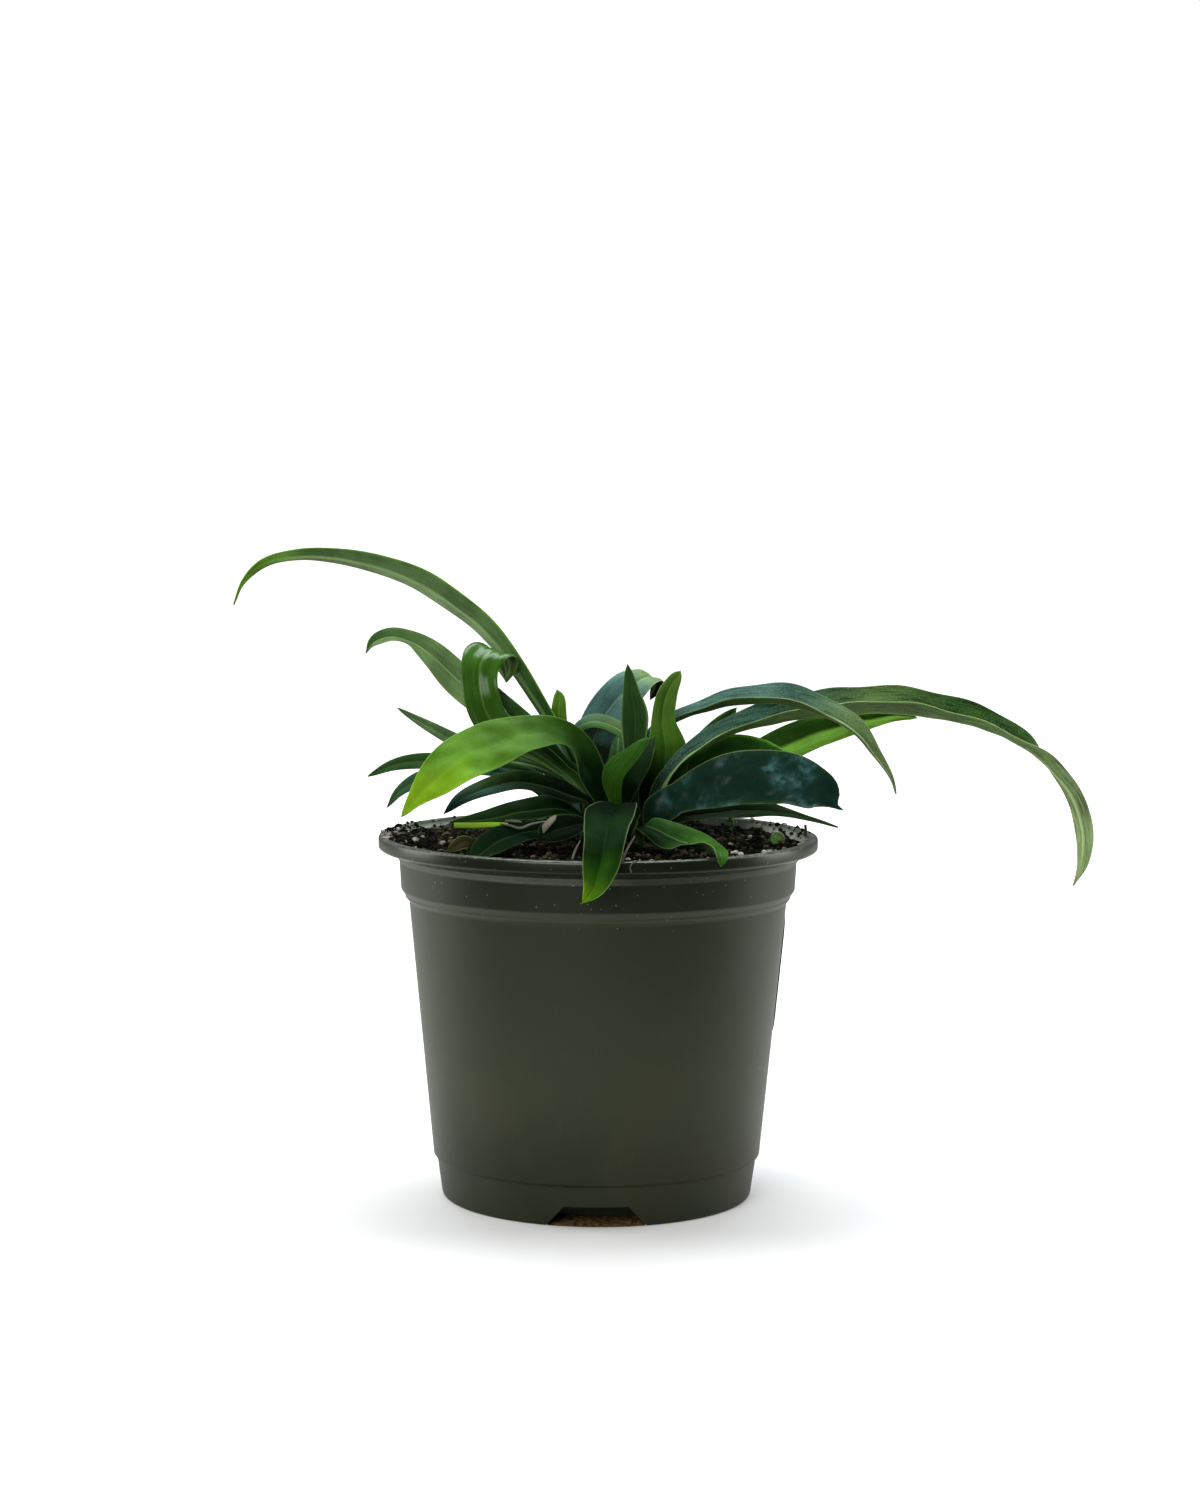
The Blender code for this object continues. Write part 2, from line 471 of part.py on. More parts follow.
def wall_radius(height):
    """Outer radius of the plain wall at a height."""
    share = (height - WALL_LOW) / (WALL_TOP - WALL_LOW)
    return WALL_LOW_RADIUS + share * (WALL_TOP_RADIUS - WALL_LOW_RADIUS)


def inner_profile(clear=0.0):
    """Inside of the pot from the middle of the floor up to the lip, clear mm smaller."""
    return [
        (0.0, FLOOR + clear),
        (SKIRT_LOW_RADIUS - WALL - clear, FLOOR + clear),
        (SKIRT_TOP_RADIUS - WALL - clear, SKIRT_TOP),
        (wall_radius(WALL_LOW) - WALL - clear, WALL_LOW),
        (WALL_TOP_RADIUS - WALL - clear, WALL_TOP),
        (BAND_LOW_RADIUS - WALL - clear, BAND_LOW),
        (BAND_TOP_RADIUS - WALL - clear, BAND_TOP),
    ]


def channel(name, angle, inner, low_loop, top_loop):
    """A drain channel's block: flat at the inner end, round at the outer end.

    Each loop is its height, the half width of the block and the outer radius there.
    """
    bm = bmesh.new()
    loops = []
    for z, half, outer in (low_loop, top_loop):
        reach = math.asin(half / outer)
        arc = [reach * (1.0 - 0.5 * i) for i in range(5)]
        outline = [(inner, -half), (inner, half)]
        outline += [(outer * math.cos(a), outer * math.sin(a)) for a in arc]
        loops.append([bm.verts.new((x * MM, y * MM, z * MM)) for x, y in outline])
    for loop in loops:
        bm.faces.new(loop)
    edges = [bm.edges.get((a, b)) for loop in loops for a, b in zip(loop, loop[1:] + loop[:1])]
    bmesh.ops.bridge_loops(bm, edges=edges)
    bmesh.ops.recalc_face_normals(bm, faces=bm.faces)
    obj = hidden(from_bmesh(name, bm))
    obj.rotation_euler.z = math.radians(angle)
    return obj


def cylinder(name, radius, low, top, at, sides=12):
    bm = bmesh.new()
    bmesh.ops.create_cone(
        bm, cap_ends=True, segments=sides, radius1=radius * MM, radius2=radius * MM,
        depth=(top - low) * MM,
    )
    obj = hidden(from_bmesh(name, bm))
    obj.location = (at[0] * MM, at[1] * MM, 0.5 * (low + top) * MM)
    return obj


def make_pot():
    rim_low = RIM_TOP - RIM_FACE
    profile = inner_profile() + [
        (SOIL_EDGE_RADIUS + 0.8, SOIL_EDGE_HEIGHT + 0.6),
        (RIM_RADIUS - RIM_FLAT, RIM_TOP),
        (RIM_RADIUS - 0.6, RIM_TOP),
        (RIM_RADIUS, RIM_TOP - 0.6),
        (RIM_RADIUS, rim_low + 0.4),
        (RIM_RADIUS - 0.6, rim_low),
        (BAND_TOP_RADIUS, BAND_TOP),
        (BAND_LOW_RADIUS, BAND_LOW),
        (WALL_TOP_RADIUS, WALL_TOP),
        (WALL_LOW_RADIUS, WALL_LOW),
        (SKIRT_TOP_RADIUS, SKIRT_TOP),
        (SKIRT_LOW_RADIUS, FOOT_ROUND),
        (SKIRT_LOW_RADIUS - FOOT_ROUND, 0.0),
        (0.0, 0.0),
    ]
    pot = turned("pot", profile, POT_SIDES)
    helpers = []
    for i, angle in enumerate(CHANNEL_ANGLES):
        roof = channel(
            f"channel_roof_{i}", angle, CHANNEL_INNER - WALL,
            (0.5, CHANNEL_HALF_LOW + WALL, SKIRT_LOW_RADIUS - 0.8),
            (CHANNEL_HEIGHT + WALL, CHANNEL_HALF_TOP + WALL, SKIRT_LOW_RADIUS - 0.1),
        )
        boolean(pot, roof, "UNION")
        helpers.append(roof)
    for i, angle in enumerate(CHANNEL_ANGLES):
        slope = (CHANNEL_HALF_LOW - CHANNEL_HALF_TOP) / CHANNEL_HEIGHT
        arch = channel(
            f"channel_arch_{i}", angle, CHANNEL_INNER,
            (-1.0, CHANNEL_HALF_LOW + slope, RIM_RADIUS),
            (CHANNEL_HEIGHT, CHANNEL_HALF_TOP, RIM_RADIUS),
        )
        turn = math.radians(angle)
        at = (DRAIN_HOLE_AT * math.cos(turn), DRAIN_HOLE_AT * math.sin(turn))
        drain = cylinder(f"drain_{i}", DRAIN_HOLE_RADIUS, 2.0, 9.0, at, 16)
        for cutter in (arch, drain):
            boolean(pot, cutter, "DIFFERENCE")
            helpers.append(cutter)
    bpy.context.view_layer.update()
    apply_modifiers(pot)
    remove(helpers)
    smooth(pot)
    finish(pot, POT_GREY, 0.42)
    return pot


def soil_height(x, y):
    """Top of the soil: a low mound at the crown, fuller on the left, with soft lumps."""
    from_crown = math.hypot(x - CROWN[0], y - CROWN[1])
    mound = SOIL_MOUND * math.exp(-((from_crown / 20.0) ** 2))
    lumps = SOIL_LUMPS * math.sin(0.41 * x + 0.8) * math.cos(0.37 * y - 0.5)
    return SOIL_EDGE_HEIGHT + mound - SOIL_TILT * x / SOIL_EDGE_RADIUS + lumps


def make_soil(roots):
    """Soil that fills the pot, with a plain hole round the foot of every stipe."""
    bm = bmesh.new()
    walls = inner_profile(GAP)[1:]
    rings = [(r, z, False) for r, z in walls]
    rings += [(r, 0.0, True) for r in (SOIL_EDGE_RADIUS - 0.8, 40.0, 31.0, 22.0, 12.0)]
    previous = None
    for r, z, on_top in rings:
        ring = []
        for i in range(POT_SIDES):
            turn = 2.0 * math.pi * i / POT_SIDES
            x = r * math.cos(turn)
            y = r * math.sin(turn)
            height = soil_height(x, y) if on_top else z
            ring.append(bm.verts.new((x * MM, y * MM, height * MM)))
        if previous:
            for i in range(POT_SIDES):
                j = (i + 1) % POT_SIDES
                bm.faces.new((previous[i], previous[j], ring[j], ring[i]))
        else:
            bm.faces.new(ring[::-1])
        previous = ring
    bm.faces.new(previous)
    bmesh.ops.triangulate(bm, faces=bm.faces)
    bmesh.ops.recalc_face_normals(bm, faces=bm.faces)
    soil = from_bmesh("soil", bm)
    helpers = []
    for i, angle in enumerate(CHANNEL_ANGLES):
        helpers.append(channel(
            f"soil_notch_{i}", angle, CHANNEL_INNER - WALL - GAP,
            (0.0, CHANNEL_HALF_LOW + WALL + 2.5 * GAP, RIM_RADIUS),
            (CHANNEL_HEIGHT + WALL + GAP, CHANNEL_HALF_TOP + WALL + GAP, RIM_RADIUS),
        ))
    for i, at in enumerate(roots):
        low = STIPE_FOOT - GAP
        helpers.append(cylinder(f"hole_{i}", HOLE_RADIUS, low, RIM_TOP + 5.0, at, 8))
    for cutter in helpers:
        boolean(soil, cutter, "DIFFERENCE")
    bpy.context.view_layer.update()
    apply_modifiers(soil)
    remove(helpers)
    smooth(soil)
    finish(soil, SOIL_BROWN, 0.95, 0.2)
    return soil


def blend(start, end, low, high, at):
    return ((high - at) * start + (at - low) * end) / (high - low)


def along(rows, spacing):
    """Rows on a smooth curve through the given rows, evenly spaced along its length."""
    points = np.array(rows, float)
    points = np.vstack([2 * points[0] - points[1], points, 2 * points[-1] - points[-2]])
    steps = np.sqrt(np.linalg.norm(np.diff(points[:, :3], axis=0), axis=1))
    knots = np.concatenate([[0.0], np.cumsum(steps)])

    def row_at(t):
        i = int(np.clip(np.searchsorted(knots, t), 2, len(points) - 2)) - 2
        p, k = points[i:i + 4], knots[i:i + 4]
        first = [blend(p[j], p[j + 1], k[j], k[j + 1], t) for j in range(3)]
        second = [blend(first[j], first[j + 1], k[j], k[j + 2], t) for j in range(2)]
        return blend(second[0], second[1], k[1], k[2], t)

    fine = np.linspace(knots[1], knots[-2], 300)
    places = np.array([row_at(t)[:3] for t in fine])
    lengths = np.concatenate([[0.0], np.cumsum(np.linalg.norm(np.diff(places, axis=0), axis=1))])
    count = int(np.clip(round(lengths[-1] / spacing), *STATION_LIMITS))
    even = np.interp(np.linspace(0.0, lengths[-1], count), lengths, fine)
    return np.array([row_at(t) for t in even]), lengths[-1]


def unit(vectors):
    return vectors / np.linalg.norm(vectors, axis=1)[:, None]


def make_frond(name, spec):
    """A folded strap blade on its stipe: a sheet along the midrib, given thickness."""
    x, y = spec["root"]
    rows = [(x, y, z, STIPE_HALF, 15.0, *spec["face"]) for z in (STIPE_FOOT, STIPE_NECK)]
    stations, length = along(rows + spec["rows"], STATION_STEP)
    middle = stations[:, :3]
    half = np.maximum(stations[:, 3], 0.4)
    fold = np.radians(stations[:, 4])
    tangent = unit(np.gradient(middle, axis=0))
    face = stations[:, 5:8]
    face = unit(face - np.sum(face * tangent, axis=1)[:, None] * tangent)
    across = np.cross(face, tangent)
    share = np.linspace(0.0, 1.0, len(stations))
    turn = 2.0 * math.pi * share * length / WAVE_LENGTH
    bm = bmesh.new()
    grid = []
    for i in range(len(stations)):
        line = []
        for u in ACROSS:
            slope = fold[i] * (FOLD_AT_MIDRIB + (1.0 - FOLD_AT_MIDRIB) * abs(u))
            margin = WAVE * u * u * min(half[i] / 4.0, 1.0) * math.sin(math.pi * share[i])
            ripple = margin * math.sin(turn[i] + (WAVE_SHIFT if u > 0.0 else 0.0))
            side = half[i] * u * math.cos(slope)
            rise = half[i] * abs(u) * math.sin(slope) + ripple
            point = middle[i] + across[i] * side + face[i] * rise
            line.append(bm.verts.new(point * MM))
        grid.append(line)
    for low, high in zip(grid, grid[1:]):
        for a, b, c, d in zip(low, low[1:], high[1:], high):
            bm.faces.new((a, b, c))
            bm.faces.new((a, c, d))
    bmesh.ops.reverse_faces(bm, faces=bm.faces)
    frond = from_bmesh(name, bm)
    thick = frond.vertex_groups.new(name="stipe")
    for i, width in enumerate(half):
        spread = (width - STIPE_HALF) / BLADE_SPREAD
        weight = max(0.0, 1.0 - spread) if share[i] < 0.5 else 0.0
        thick.add([i * len(ACROSS) + j for j in range(len(ACROSS))], min(weight, 1.0), "REPLACE")
    solidify = frond.modifiers.new("Solidify", "SOLIDIFY")
    solidify.thickness = STIPE_THICK * MM
    solidify.offset = 0.0
    solidify.use_even_offset = True
    solidify.vertex_group = thick.name
    solidify.thickness_vertex_group = BLADE_THICK / STIPE_THICK
    smooth(frond, 50.0)
    finish(frond, LEAF_COLOURS[spec["leaf"]], 0.35)
    return frond


def make_crozier():
    """A curled young frond: a small round head on a short stem, in its own hole."""
    profile = [(0.0, CROZIER_HEIGHT + CROZIER_RADIUS)]
    for degrees in range(65, -60, -25):
        turn = math.radians(degrees)
        profile.append((
            CROZIER_RADIUS * math.cos(turn), CROZIER_HEIGHT + CROZIER_RADIUS * math.sin(turn),
        ))
    profile += [
        (CROZIER_STEM, CROZIER_HEIGHT - 0.9 * CROZIER_RADIUS),
        (CROZIER_STEM, STIPE_FOOT),
        (0.0, STIPE_FOOT),
    ]
    crozier = turned("crozier_right", profile, CROZIER_SIDES, CROZIER_AT)
    smooth(crozier)
    finish(crozier, LEAF_COLOURS["green"], 0.5)
    return crozier


def make_label():
    """A plain thin label, wrapped round the wall, with cut corners."""
    bm = bmesh.new()
    span = math.radians(LABEL_END - LABEL_START)
    grid = []
    for i in range(LABEL_COLUMNS + 1):
        turn = math.radians(LABEL_START) + span * i / LABEL_COLUMNS
        edge = min(i, LABEL_COLUMNS - i) / LABEL_COLUMNS * span * wall_radius(LABEL_LOW)
        corner = max(0.0, LABEL_CORNER - edge)
        line = []
        for z in (LABEL_LOW + corner, LABEL_TOP - corner):
            radius = wall_radius(z) + GAP + 0.5 * LABEL_THICK
            spot = (radius * math.cos(turn) * MM, radius * math.sin(turn) * MM, z * MM)
            line.append(bm.verts.new(spot))
        grid.append(line)
    for left, right in zip(grid, grid[1:]):
        bm.faces.new((left[0], right[0], right[1], left[1]))
    label = from_bmesh("label_side", bm)
    solidify = label.modifiers.new("Solidify", "SOLIDIFY")
    solidify.thickness = LABEL_THICK * MM
    solidify.offset = 0.0
    smooth(label)
    finish(label, LABEL_GREY, 0.6)
    return label


def main():
    for obj in list(bpy.data.objects):
        bpy.data.objects.remove(obj)
    make_pot()
    roots = [spec["root"] for spec in FRONDS.values()] + [CROZIER_AT]
    make_soil(roots)
    for name, spec in FRONDS.items():
        make_frond(name, spec)
    make_crozier()
    make_label()


main()
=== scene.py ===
import math

import bmesh
import bpy
import numpy as np
from mathutils import Matrix, Vector


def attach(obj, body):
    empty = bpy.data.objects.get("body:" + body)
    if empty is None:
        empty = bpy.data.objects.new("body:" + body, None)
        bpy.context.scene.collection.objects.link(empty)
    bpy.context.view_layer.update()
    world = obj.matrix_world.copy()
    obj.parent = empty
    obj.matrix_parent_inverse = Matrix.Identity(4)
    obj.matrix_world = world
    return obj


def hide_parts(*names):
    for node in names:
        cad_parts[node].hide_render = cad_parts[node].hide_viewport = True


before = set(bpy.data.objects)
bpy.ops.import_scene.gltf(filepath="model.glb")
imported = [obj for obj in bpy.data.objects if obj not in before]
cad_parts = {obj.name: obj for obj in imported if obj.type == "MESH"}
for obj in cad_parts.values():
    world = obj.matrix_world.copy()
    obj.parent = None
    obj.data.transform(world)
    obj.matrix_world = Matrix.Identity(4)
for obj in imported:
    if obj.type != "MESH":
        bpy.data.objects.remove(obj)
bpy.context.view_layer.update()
mm = 0.001


def linear(red, green, blue):
    return tuple((c / 255.0) ** 2.2 for c in (red, green, blue))


# shader sums: a Value is a socket that takes part in arithmetic, a Board is one node tree
class Value:
    def __init__(self, board, socket):
        self.board, self.socket = board, socket

    def maths(self, operation, first, second=None):
        return self.board.node("ShaderNodeMath", {"operation": operation}, {0: first, 1: second})

    def __add__(self, other):
        return self.maths("ADD", self, other)

    def __sub__(self, other):
        return self.maths("SUBTRACT", self, other)

    def __rsub__(self, other):
        return self.maths("SUBTRACT", other, self)

    def __mul__(self, other):
        return self.maths("MULTIPLY", self, other)

    def __pow__(self, other):
        return self.maths("POWER", self, other)

    def size(self):
        return self.maths("ABSOLUTE", self)

    def larger(self, other):
        return self.maths("MAXIMUM", self, other)

    def step(self, low, high, least=0.0, most=1.0):
        # least below low, most above high, soft between; low may be the larger
        settings = {"interpolation_type": "SMOOTHSTEP"}
        sockets = {0: self, 1: low, 2: high, 3: least, 4: most}
        return self.board.node("ShaderNodeMapRange", settings, sockets)

    __radd__ = __add__
    __rmul__ = __mul__


class Board:
    def __init__(self, name, owner=None, shader="Principled BSDF", **fixed):
        self.owner = bpy.data.materials.new(name) if owner is None else owner
        self.owner.use_nodes = True
        self.tree = self.owner.node_tree
        self.shader = self.tree.nodes[shader]
        for socket, value in fixed.items():
            self.feed(self.shader, socket.replace("_", " "), value)

    def feed(self, node, socket, value):
        if isinstance(value, Value):
            self.tree.links.new(value.socket, node.inputs[socket])
        elif value is not None:
            node.inputs[socket].default_value = value

    def node(self, kind, settings=None, sockets=None, out=0):
        made = self.tree.nodes.new(kind)
        for key, value in (settings or {}).items():
            setattr(made, key, value)
        for key, value in (sockets or {}).items():
            self.feed(made, key, value)
        return Value(self, made.outputs[out])

    def place(self):
        return self.node("ShaderNodeTexCoord", out=3)

    def attribute(self, name, out="Vector"):
        return self.node("ShaderNodeAttribute", {"attribute_name": name}, out=out)

    def part(self, vector, axis):
        return self.node("ShaderNodeSeparateXYZ", sockets={0: vector}, out=axis)

    def stretch(self, vector, scale):
        return self.node("ShaderNodeVectorMath", {"operation": "MULTIPLY"}, {0: vector, 1: scale})

    def length(self, vector):
        return self.node("ShaderNodeVectorMath", {"operation": "LENGTH"}, {0: vector}, 1)

    def noise(self, perMetre, detail=3.0, vector=None, rough=0.55):
        sockets = {"Vector": vector or self.place(), "Scale": perMetre, "Detail": detail, "Roughness": rough}
        return self.node("ShaderNodeTexNoise", None, sockets)

    def cells(self, perMetre, out="Distance"):
        return self.node("ShaderNodeTexVoronoi", None, {"Vector": self.place(), "Scale": perMetre}, out)

    def mix(self, first, second, share, blend="MIX"):
        settings = {"data_type": "RGBA", "blend_type": blend}
        sockets = {0: share}
        for index, colour in ((6, first), (7, second)):
            sockets[index] = colour if isinstance(colour, Value) else (*colour[:3], 1.0)
        return self.node("ShaderNodeMix", settings, sockets, 2)

    def paint(self, colour, *coats):
        # coats are (colour, share), laid on one after the other
        for coat, share in coats:
            colour = self.mix(colour, coat, share)
        return colour

    def finish(self, colour, roughness, bumps=()):
        # bumps are (height, strength, depth in millimetres), the broadest first
        normal = None
        for height, strength, depth in bumps:
            sockets = {"Height": height, "Strength": strength, "Distance": depth * mm, "Normal": normal}
            normal = self.node("ShaderNodeBump", None, sockets)
        for socket, value in (("Base Color", colour), ("Roughness", roughness), ("Normal", normal)):
            self.feed(self.shader, socket, value)
        return self.owner


def linked(name, data):
    # a new object in the scene
    made = bpy.data.objects.new(name, data)
    bpy.context.scene.collection.objects.link(made)
    return made


def meshed(name, bm):
    # a new object from a bmesh, which is then freed
    mesh = bpy.data.meshes.new(name)
    bm.to_mesh(mesh)
    bm.free()
    return linked(name, mesh)


def meshObject(name, points, faces, material, slot, replaced=(), smooth=True):
    # points are in millimetres
    mesh = bpy.data.meshes.new(name)
    mesh.from_pydata((np.asarray(points, float) * mm).tolist(), [], faces)
    mesh.update()
    if smooth:
        mesh.shade_smooth()
    mesh.materials.append(material)
    piece = linked(name, mesh)
    dress(piece, replaced)
    return piece


def dress(piece, replaced=()):
    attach(piece, "root")
    if replaced:
        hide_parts(*replaced)


def addVectors(piece, name, values, kind="FLOAT_VECTOR"):
    layer = piece.data.attributes.new(name, kind, "POINT")
    key = "color" if kind == "FLOAT_COLOR" else "vector"
    layer.data.foreach_set(key, np.asarray(values, np.float32).ravel())


def gridBorder(wide, deep):
    # the points round a grid of cells, in order; its rows hold one point more than the cells across
    row = wide + 1
    last = deep * row
    there = list(range(wide)) + [wide + j * row for j in range(deep)]
    return there + [last + wide - i for i in range(wide)] + [last - j * row for j in range(deep)]


def slabFaces(wide, deep):
    # a closed sheet on two like grids of points; its faces point out when the upper grid is first
    row = wide + 1
    total = row * (deep + 1)
    faces = []
    for a in (j * row + i for j in range(deep) for i in range(wide)):
        faces.append((a, a + row, a + row + 1, a + 1))
        faces.append((total + a, total + a + 1, total + a + row + 1, total + a + row))
    border = gridBorder(wide, deep)
    return faces + [(a, b, total + b, total + a) for a, b in zip(border, border[1:] + border[:1])]


def wander(rng, count, longest, shortest):
    # a soft random height field: a sum of plane waves, about -1 to 1
    turns = rng.uniform(0.0, 2.0 * math.pi, count)
    waves = rng.uniform(shortest, longest, count)
    shifts = rng.uniform(0.0, 2.0 * math.pi, count)

    def height(x, y):
        total = 0.0
        for turn, wave, shift in zip(turns, waves, shifts):
            along = x * math.cos(turn) + y * math.sin(turn)
            total = total + np.sin(2.0 * math.pi * along / wave + shift)
        return total / math.sqrt(count)

    return height


# camera: fitted to the outline of the pot
view = {"place": (0.32, -780.0, 181.2), "down": 5.2, "roll": 0.31, "lens": 76.54, "sensor": 36.0}
cameraData = bpy.data.cameras.new("camera")
cameraData.lens = view["lens"]
cameraData.sensor_width = view["sensor"]
camera = linked("camera", cameraData)
tilt = Matrix.Rotation(math.radians(90.0 - view["down"]), 4, "X")
roll = Matrix.Rotation(math.radians(view["roll"]), 4, "Z")
camera.matrix_world = Matrix.Translation(Vector(view["place"]) * mm) @ tilt @ roll
bpy.context.scene.camera = camera

# pot sizes, close to the solid's, with the rounding of the moulding added
pot = {
    "sides": 192,
    "lines": [  # radius, height and the rounding there, from the inner floor up and out
        (0.0, 1.6, 0.0), (36.9, 1.6, 1.0), (38.2, 9.0, 0.4), (39.1, 10.6, 0.4),
        (45.2, 73.2, 0.6), (46.7, 75.5, 0.6), (47.2, 83.0, 0.8), (49.7, 87.0, 0.5),
        (51.6, 89.3, 0.6), (54.0, 89.3, 0.7), (54.0, 86.5, 0.35), (53.2, 86.0, 0.1),
        (52.9, 86.25, 0.1), (49.8, 84.7, 0.3), (49.5, 84.1, 0.12), (48.85, 83.2, 0.3),
        (48.45, 76.4, 0.3), (47.45, 75.0, 0.08), (47.45, 74.5, 0.15), (46.45, 73.3, 0.3),
        (40.35, 10.6, 0.12), (39.6, 9.95, 0.1), (39.4, 9.0, 0.3), (38.1, 0.0, 1.2), (0.0, 0.0, 0.0),
    ],
    "channelAngles": (-90.0, 30.0, 150.0),
    "channelInner": 27.0, "channelHeight": 5.1, "channelLow": 12.1, "channelTop": 7.7,
    "wall": 1.2, "foot": 38.1, "beyond": 54.0, "drainRadius": 3.0, "drainAt": 32.0,
}


def roundedLine(corners, steps=4):
    # the profile with every corner cut back by its rounding and bridged by a curve
    line = []
    for i, (r, z, cut) in enumerate(corners):
        here = np.array((r, z))
        if not cut:
            line.append(here)
            continue
        before = np.array(corners[i - 1][:2]) - here
        after = np.array(corners[i + 1][:2]) - here
        start = here + before * min(0.45, cut / np.linalg.norm(before))
        end = here + after * min(0.45, cut / np.linalg.norm(after))
        for k in range(steps + 1):
            t = k / steps
            line.append((1 - t) ** 2 * start + 2 * t * (1 - t) * here + t * t * end)
    return line


def turnedMesh(name, line, sides):
    bm = bmesh.new()
    rings = []
    for r, z in line:
        if r == 0.0:
            rings.append([bm.verts.new((0.0, 0.0, z * mm))])
            continue
        turns = [2.0 * math.pi * i / sides for i in range(sides)]
        rings.append([bm.verts.new((r * math.cos(a) * mm, r * math.sin(a) * mm, z * mm)) for a in turns])
    for low, high in zip(rings, rings[1:]):
        for i in range(sides):
            j = (i + 1) % sides
            corners = [low[i % len(low)], low[j % len(low)], high[j % len(high)], high[i % len(high)]]
            bm.faces.new(list(dict.fromkeys(corners)))
    bmesh.ops.recalc_face_normals(bm, faces=bm.faces)
    return meshed(name, bm)


def channelBlock(angle, inner, lowLoop, topLoop):
    # flat at the inner end and round at the outer; a loop is height, half width, outer radius
    bm = bmesh.new()
    loops = []
    for z, half, outer in (lowLoop, topLoop):
        reach = math.asin(half / outer)
        turns = [reach * (1 - k / 4) for k in range(9)]
        outline = [(inner, -half), (inner, half)]
        outline += [(outer * math.cos(t), outer * math.sin(t)) for t in turns]
        loops.append([bm.verts.new((x * mm, y * mm, z * mm)) for x, y in outline])
    for loop in loops:
        bm.faces.new(loop)
    count = len(loops[0])
    for i in range(count):
        j = (i + 1) % count
        bm.faces.new((loops[0][i], loops[0][j], loops[1][j], loops[1][i]))
    bmesh.ops.recalc_face_normals(bm, faces=bm.faces)
    bmesh.ops.rotate(bm, verts=bm.verts, matrix=Matrix.Rotation(math.radians(angle), 3, "Z"))
    return meshed("channelBlock", bm)


def drainBlock(angle):
    bm = bmesh.new()
    radius = pot["drainRadius"] * mm
    bmesh.ops.create_cone(bm, cap_ends=True, segments=40, radius1=radius, radius2=radius, depth=7.0 * mm)
    block = meshed("drainBlock", bm)
    turn = math.radians(angle)
    block.location = Vector((pot["drainAt"] * math.cos(turn), pot["drainAt"] * math.sin(turn), 5.5)) * mm
    return block


def carve(piece, tools):
    # each tool is (object, operation); the result replaces the mesh and the tools go
    for tool, operation in tools:
        cut = piece.modifiers.new("cut", "BOOLEAN")
        cut.operation = operation
        cut.object = tool
        cut.solver = "EXACT"
    bpy.context.view_layer.update()
    graph = bpy.context.evaluated_depsgraph_get()
    mesh = bpy.data.meshes.new_from_object(piece.evaluated_get(graph))
    piece.modifiers.clear()
    piece.data = mesh
    for tool, _ in tools:
        bpy.data.objects.remove(tool)


def potFinish():
    # satin grey-green plastic: a faint grain, cloudy handling marks, dust specks, soil dust at the rim,
    # painted shade down the wall and a painted highlight on the ledge
    board = Board("potPlastic", Specular_IOR_Level=0.5, Specular_Tint=(0.9, 1.0, 0.84, 1.0))
    place = board.place()
    height = board.part(place, 2)
    cloud = board.noise(28.0, 4.0)
    grain = board.noise(2600.0, 2.0)
    rubbed = board.noise(420.0, 4.0, board.stretch(place, (1.0, 1.0, 0.25)))
    # painted shade: darker towards the foot and higher up the wall, darkest on the band under the lip
    paintedShade = height.step(0.036, 0.011) * 0.58 - height.step(0.0110, 0.0095) * 0.18
    paintedShade = paintedShade + height.step(0.040, 0.066) * 0.2 + height.step(0.0758, 0.0766) * 0.5
    # painted highlight: a thin light line along the stacking ledge
    ledgeHighlight = height.step(0.0735, 0.0742) * height.step(0.0768, 0.0760)
    # a faint brown cloud, stronger towards the bottom
    brownCloud = board.noise(34.0, 2.0, board.stretch(place, (1.0, 1.0, 0.7))) * height.step(0.066, 0.030)
    colour = board.paint(
        linear(37, 43, 27), (linear(46, 52, 35), cloud), (linear(62, 68, 54), rubbed.step(0.6, 0.8) * 0.3),
        (linear(16, 20, 12), paintedShade), (linear(92, 100, 84), ledgeHighlight * 0.22),
        (linear(58, 52, 34), brownCloud.step(0.42, 0.6) * 0.35))
    upper = height.step(0.066, 0.088)
    for perMetre, size, share in ((330.0, 0.13, 0.88), (700.0, 0.2, 0.9), (1300.0, 0.26, 0.9)):
        near = board.cells(perMetre)
        pick = board.part(board.cells(perMetre, "Color"), 0)
        rare = 1.0 - (1.0 - share) * (0.07 + upper * 0.9)
        dust = near.step(size, size * 0.4) * (pick - rare).step(0.0, 0.02)
        colour = board.mix(colour, linear(140, 144, 130), dust * 0.7)
    rimDust = height.step(0.0888, 0.08925) * board.noise(900.0, 5.0).step(0.40, 0.62)
    # inside the rim, soil clings to the wall at the back right, and dried lime shows elsewhere
    spread = board.length(board.stretch(place, (1.0, 1.0, 0.0)))
    within = (spread - height * 0.65).step(-0.0050, -0.0056) * spread.step(0.0516, 0.0505)
    side = board.part(place, 0)
    soiled = side.step(0.002, 0.010) * side.step(0.044, 0.036)
    lime = within * height.step(0.080, 0.084) * (0.35 + rubbed * 0.6) * (1.0 - soiled)
    colour = board.paint(
        colour, (linear(122, 126, 112), rimDust * 0.4),
        (linear(30, 26, 18), within * soiled * height.step(0.0885, 0.0872) * 0.85),
        (linear(160, 162, 150), lime))
    rough = 0.33 - height.step(0.0845, 0.0855) * 0.1 + cloud * 0.12 + rimDust * 0.2 + lime * 0.3
    return board.finish(colour, rough, [(cloud, 0.12, 0.4), (grain, 0.10, 0.05)])


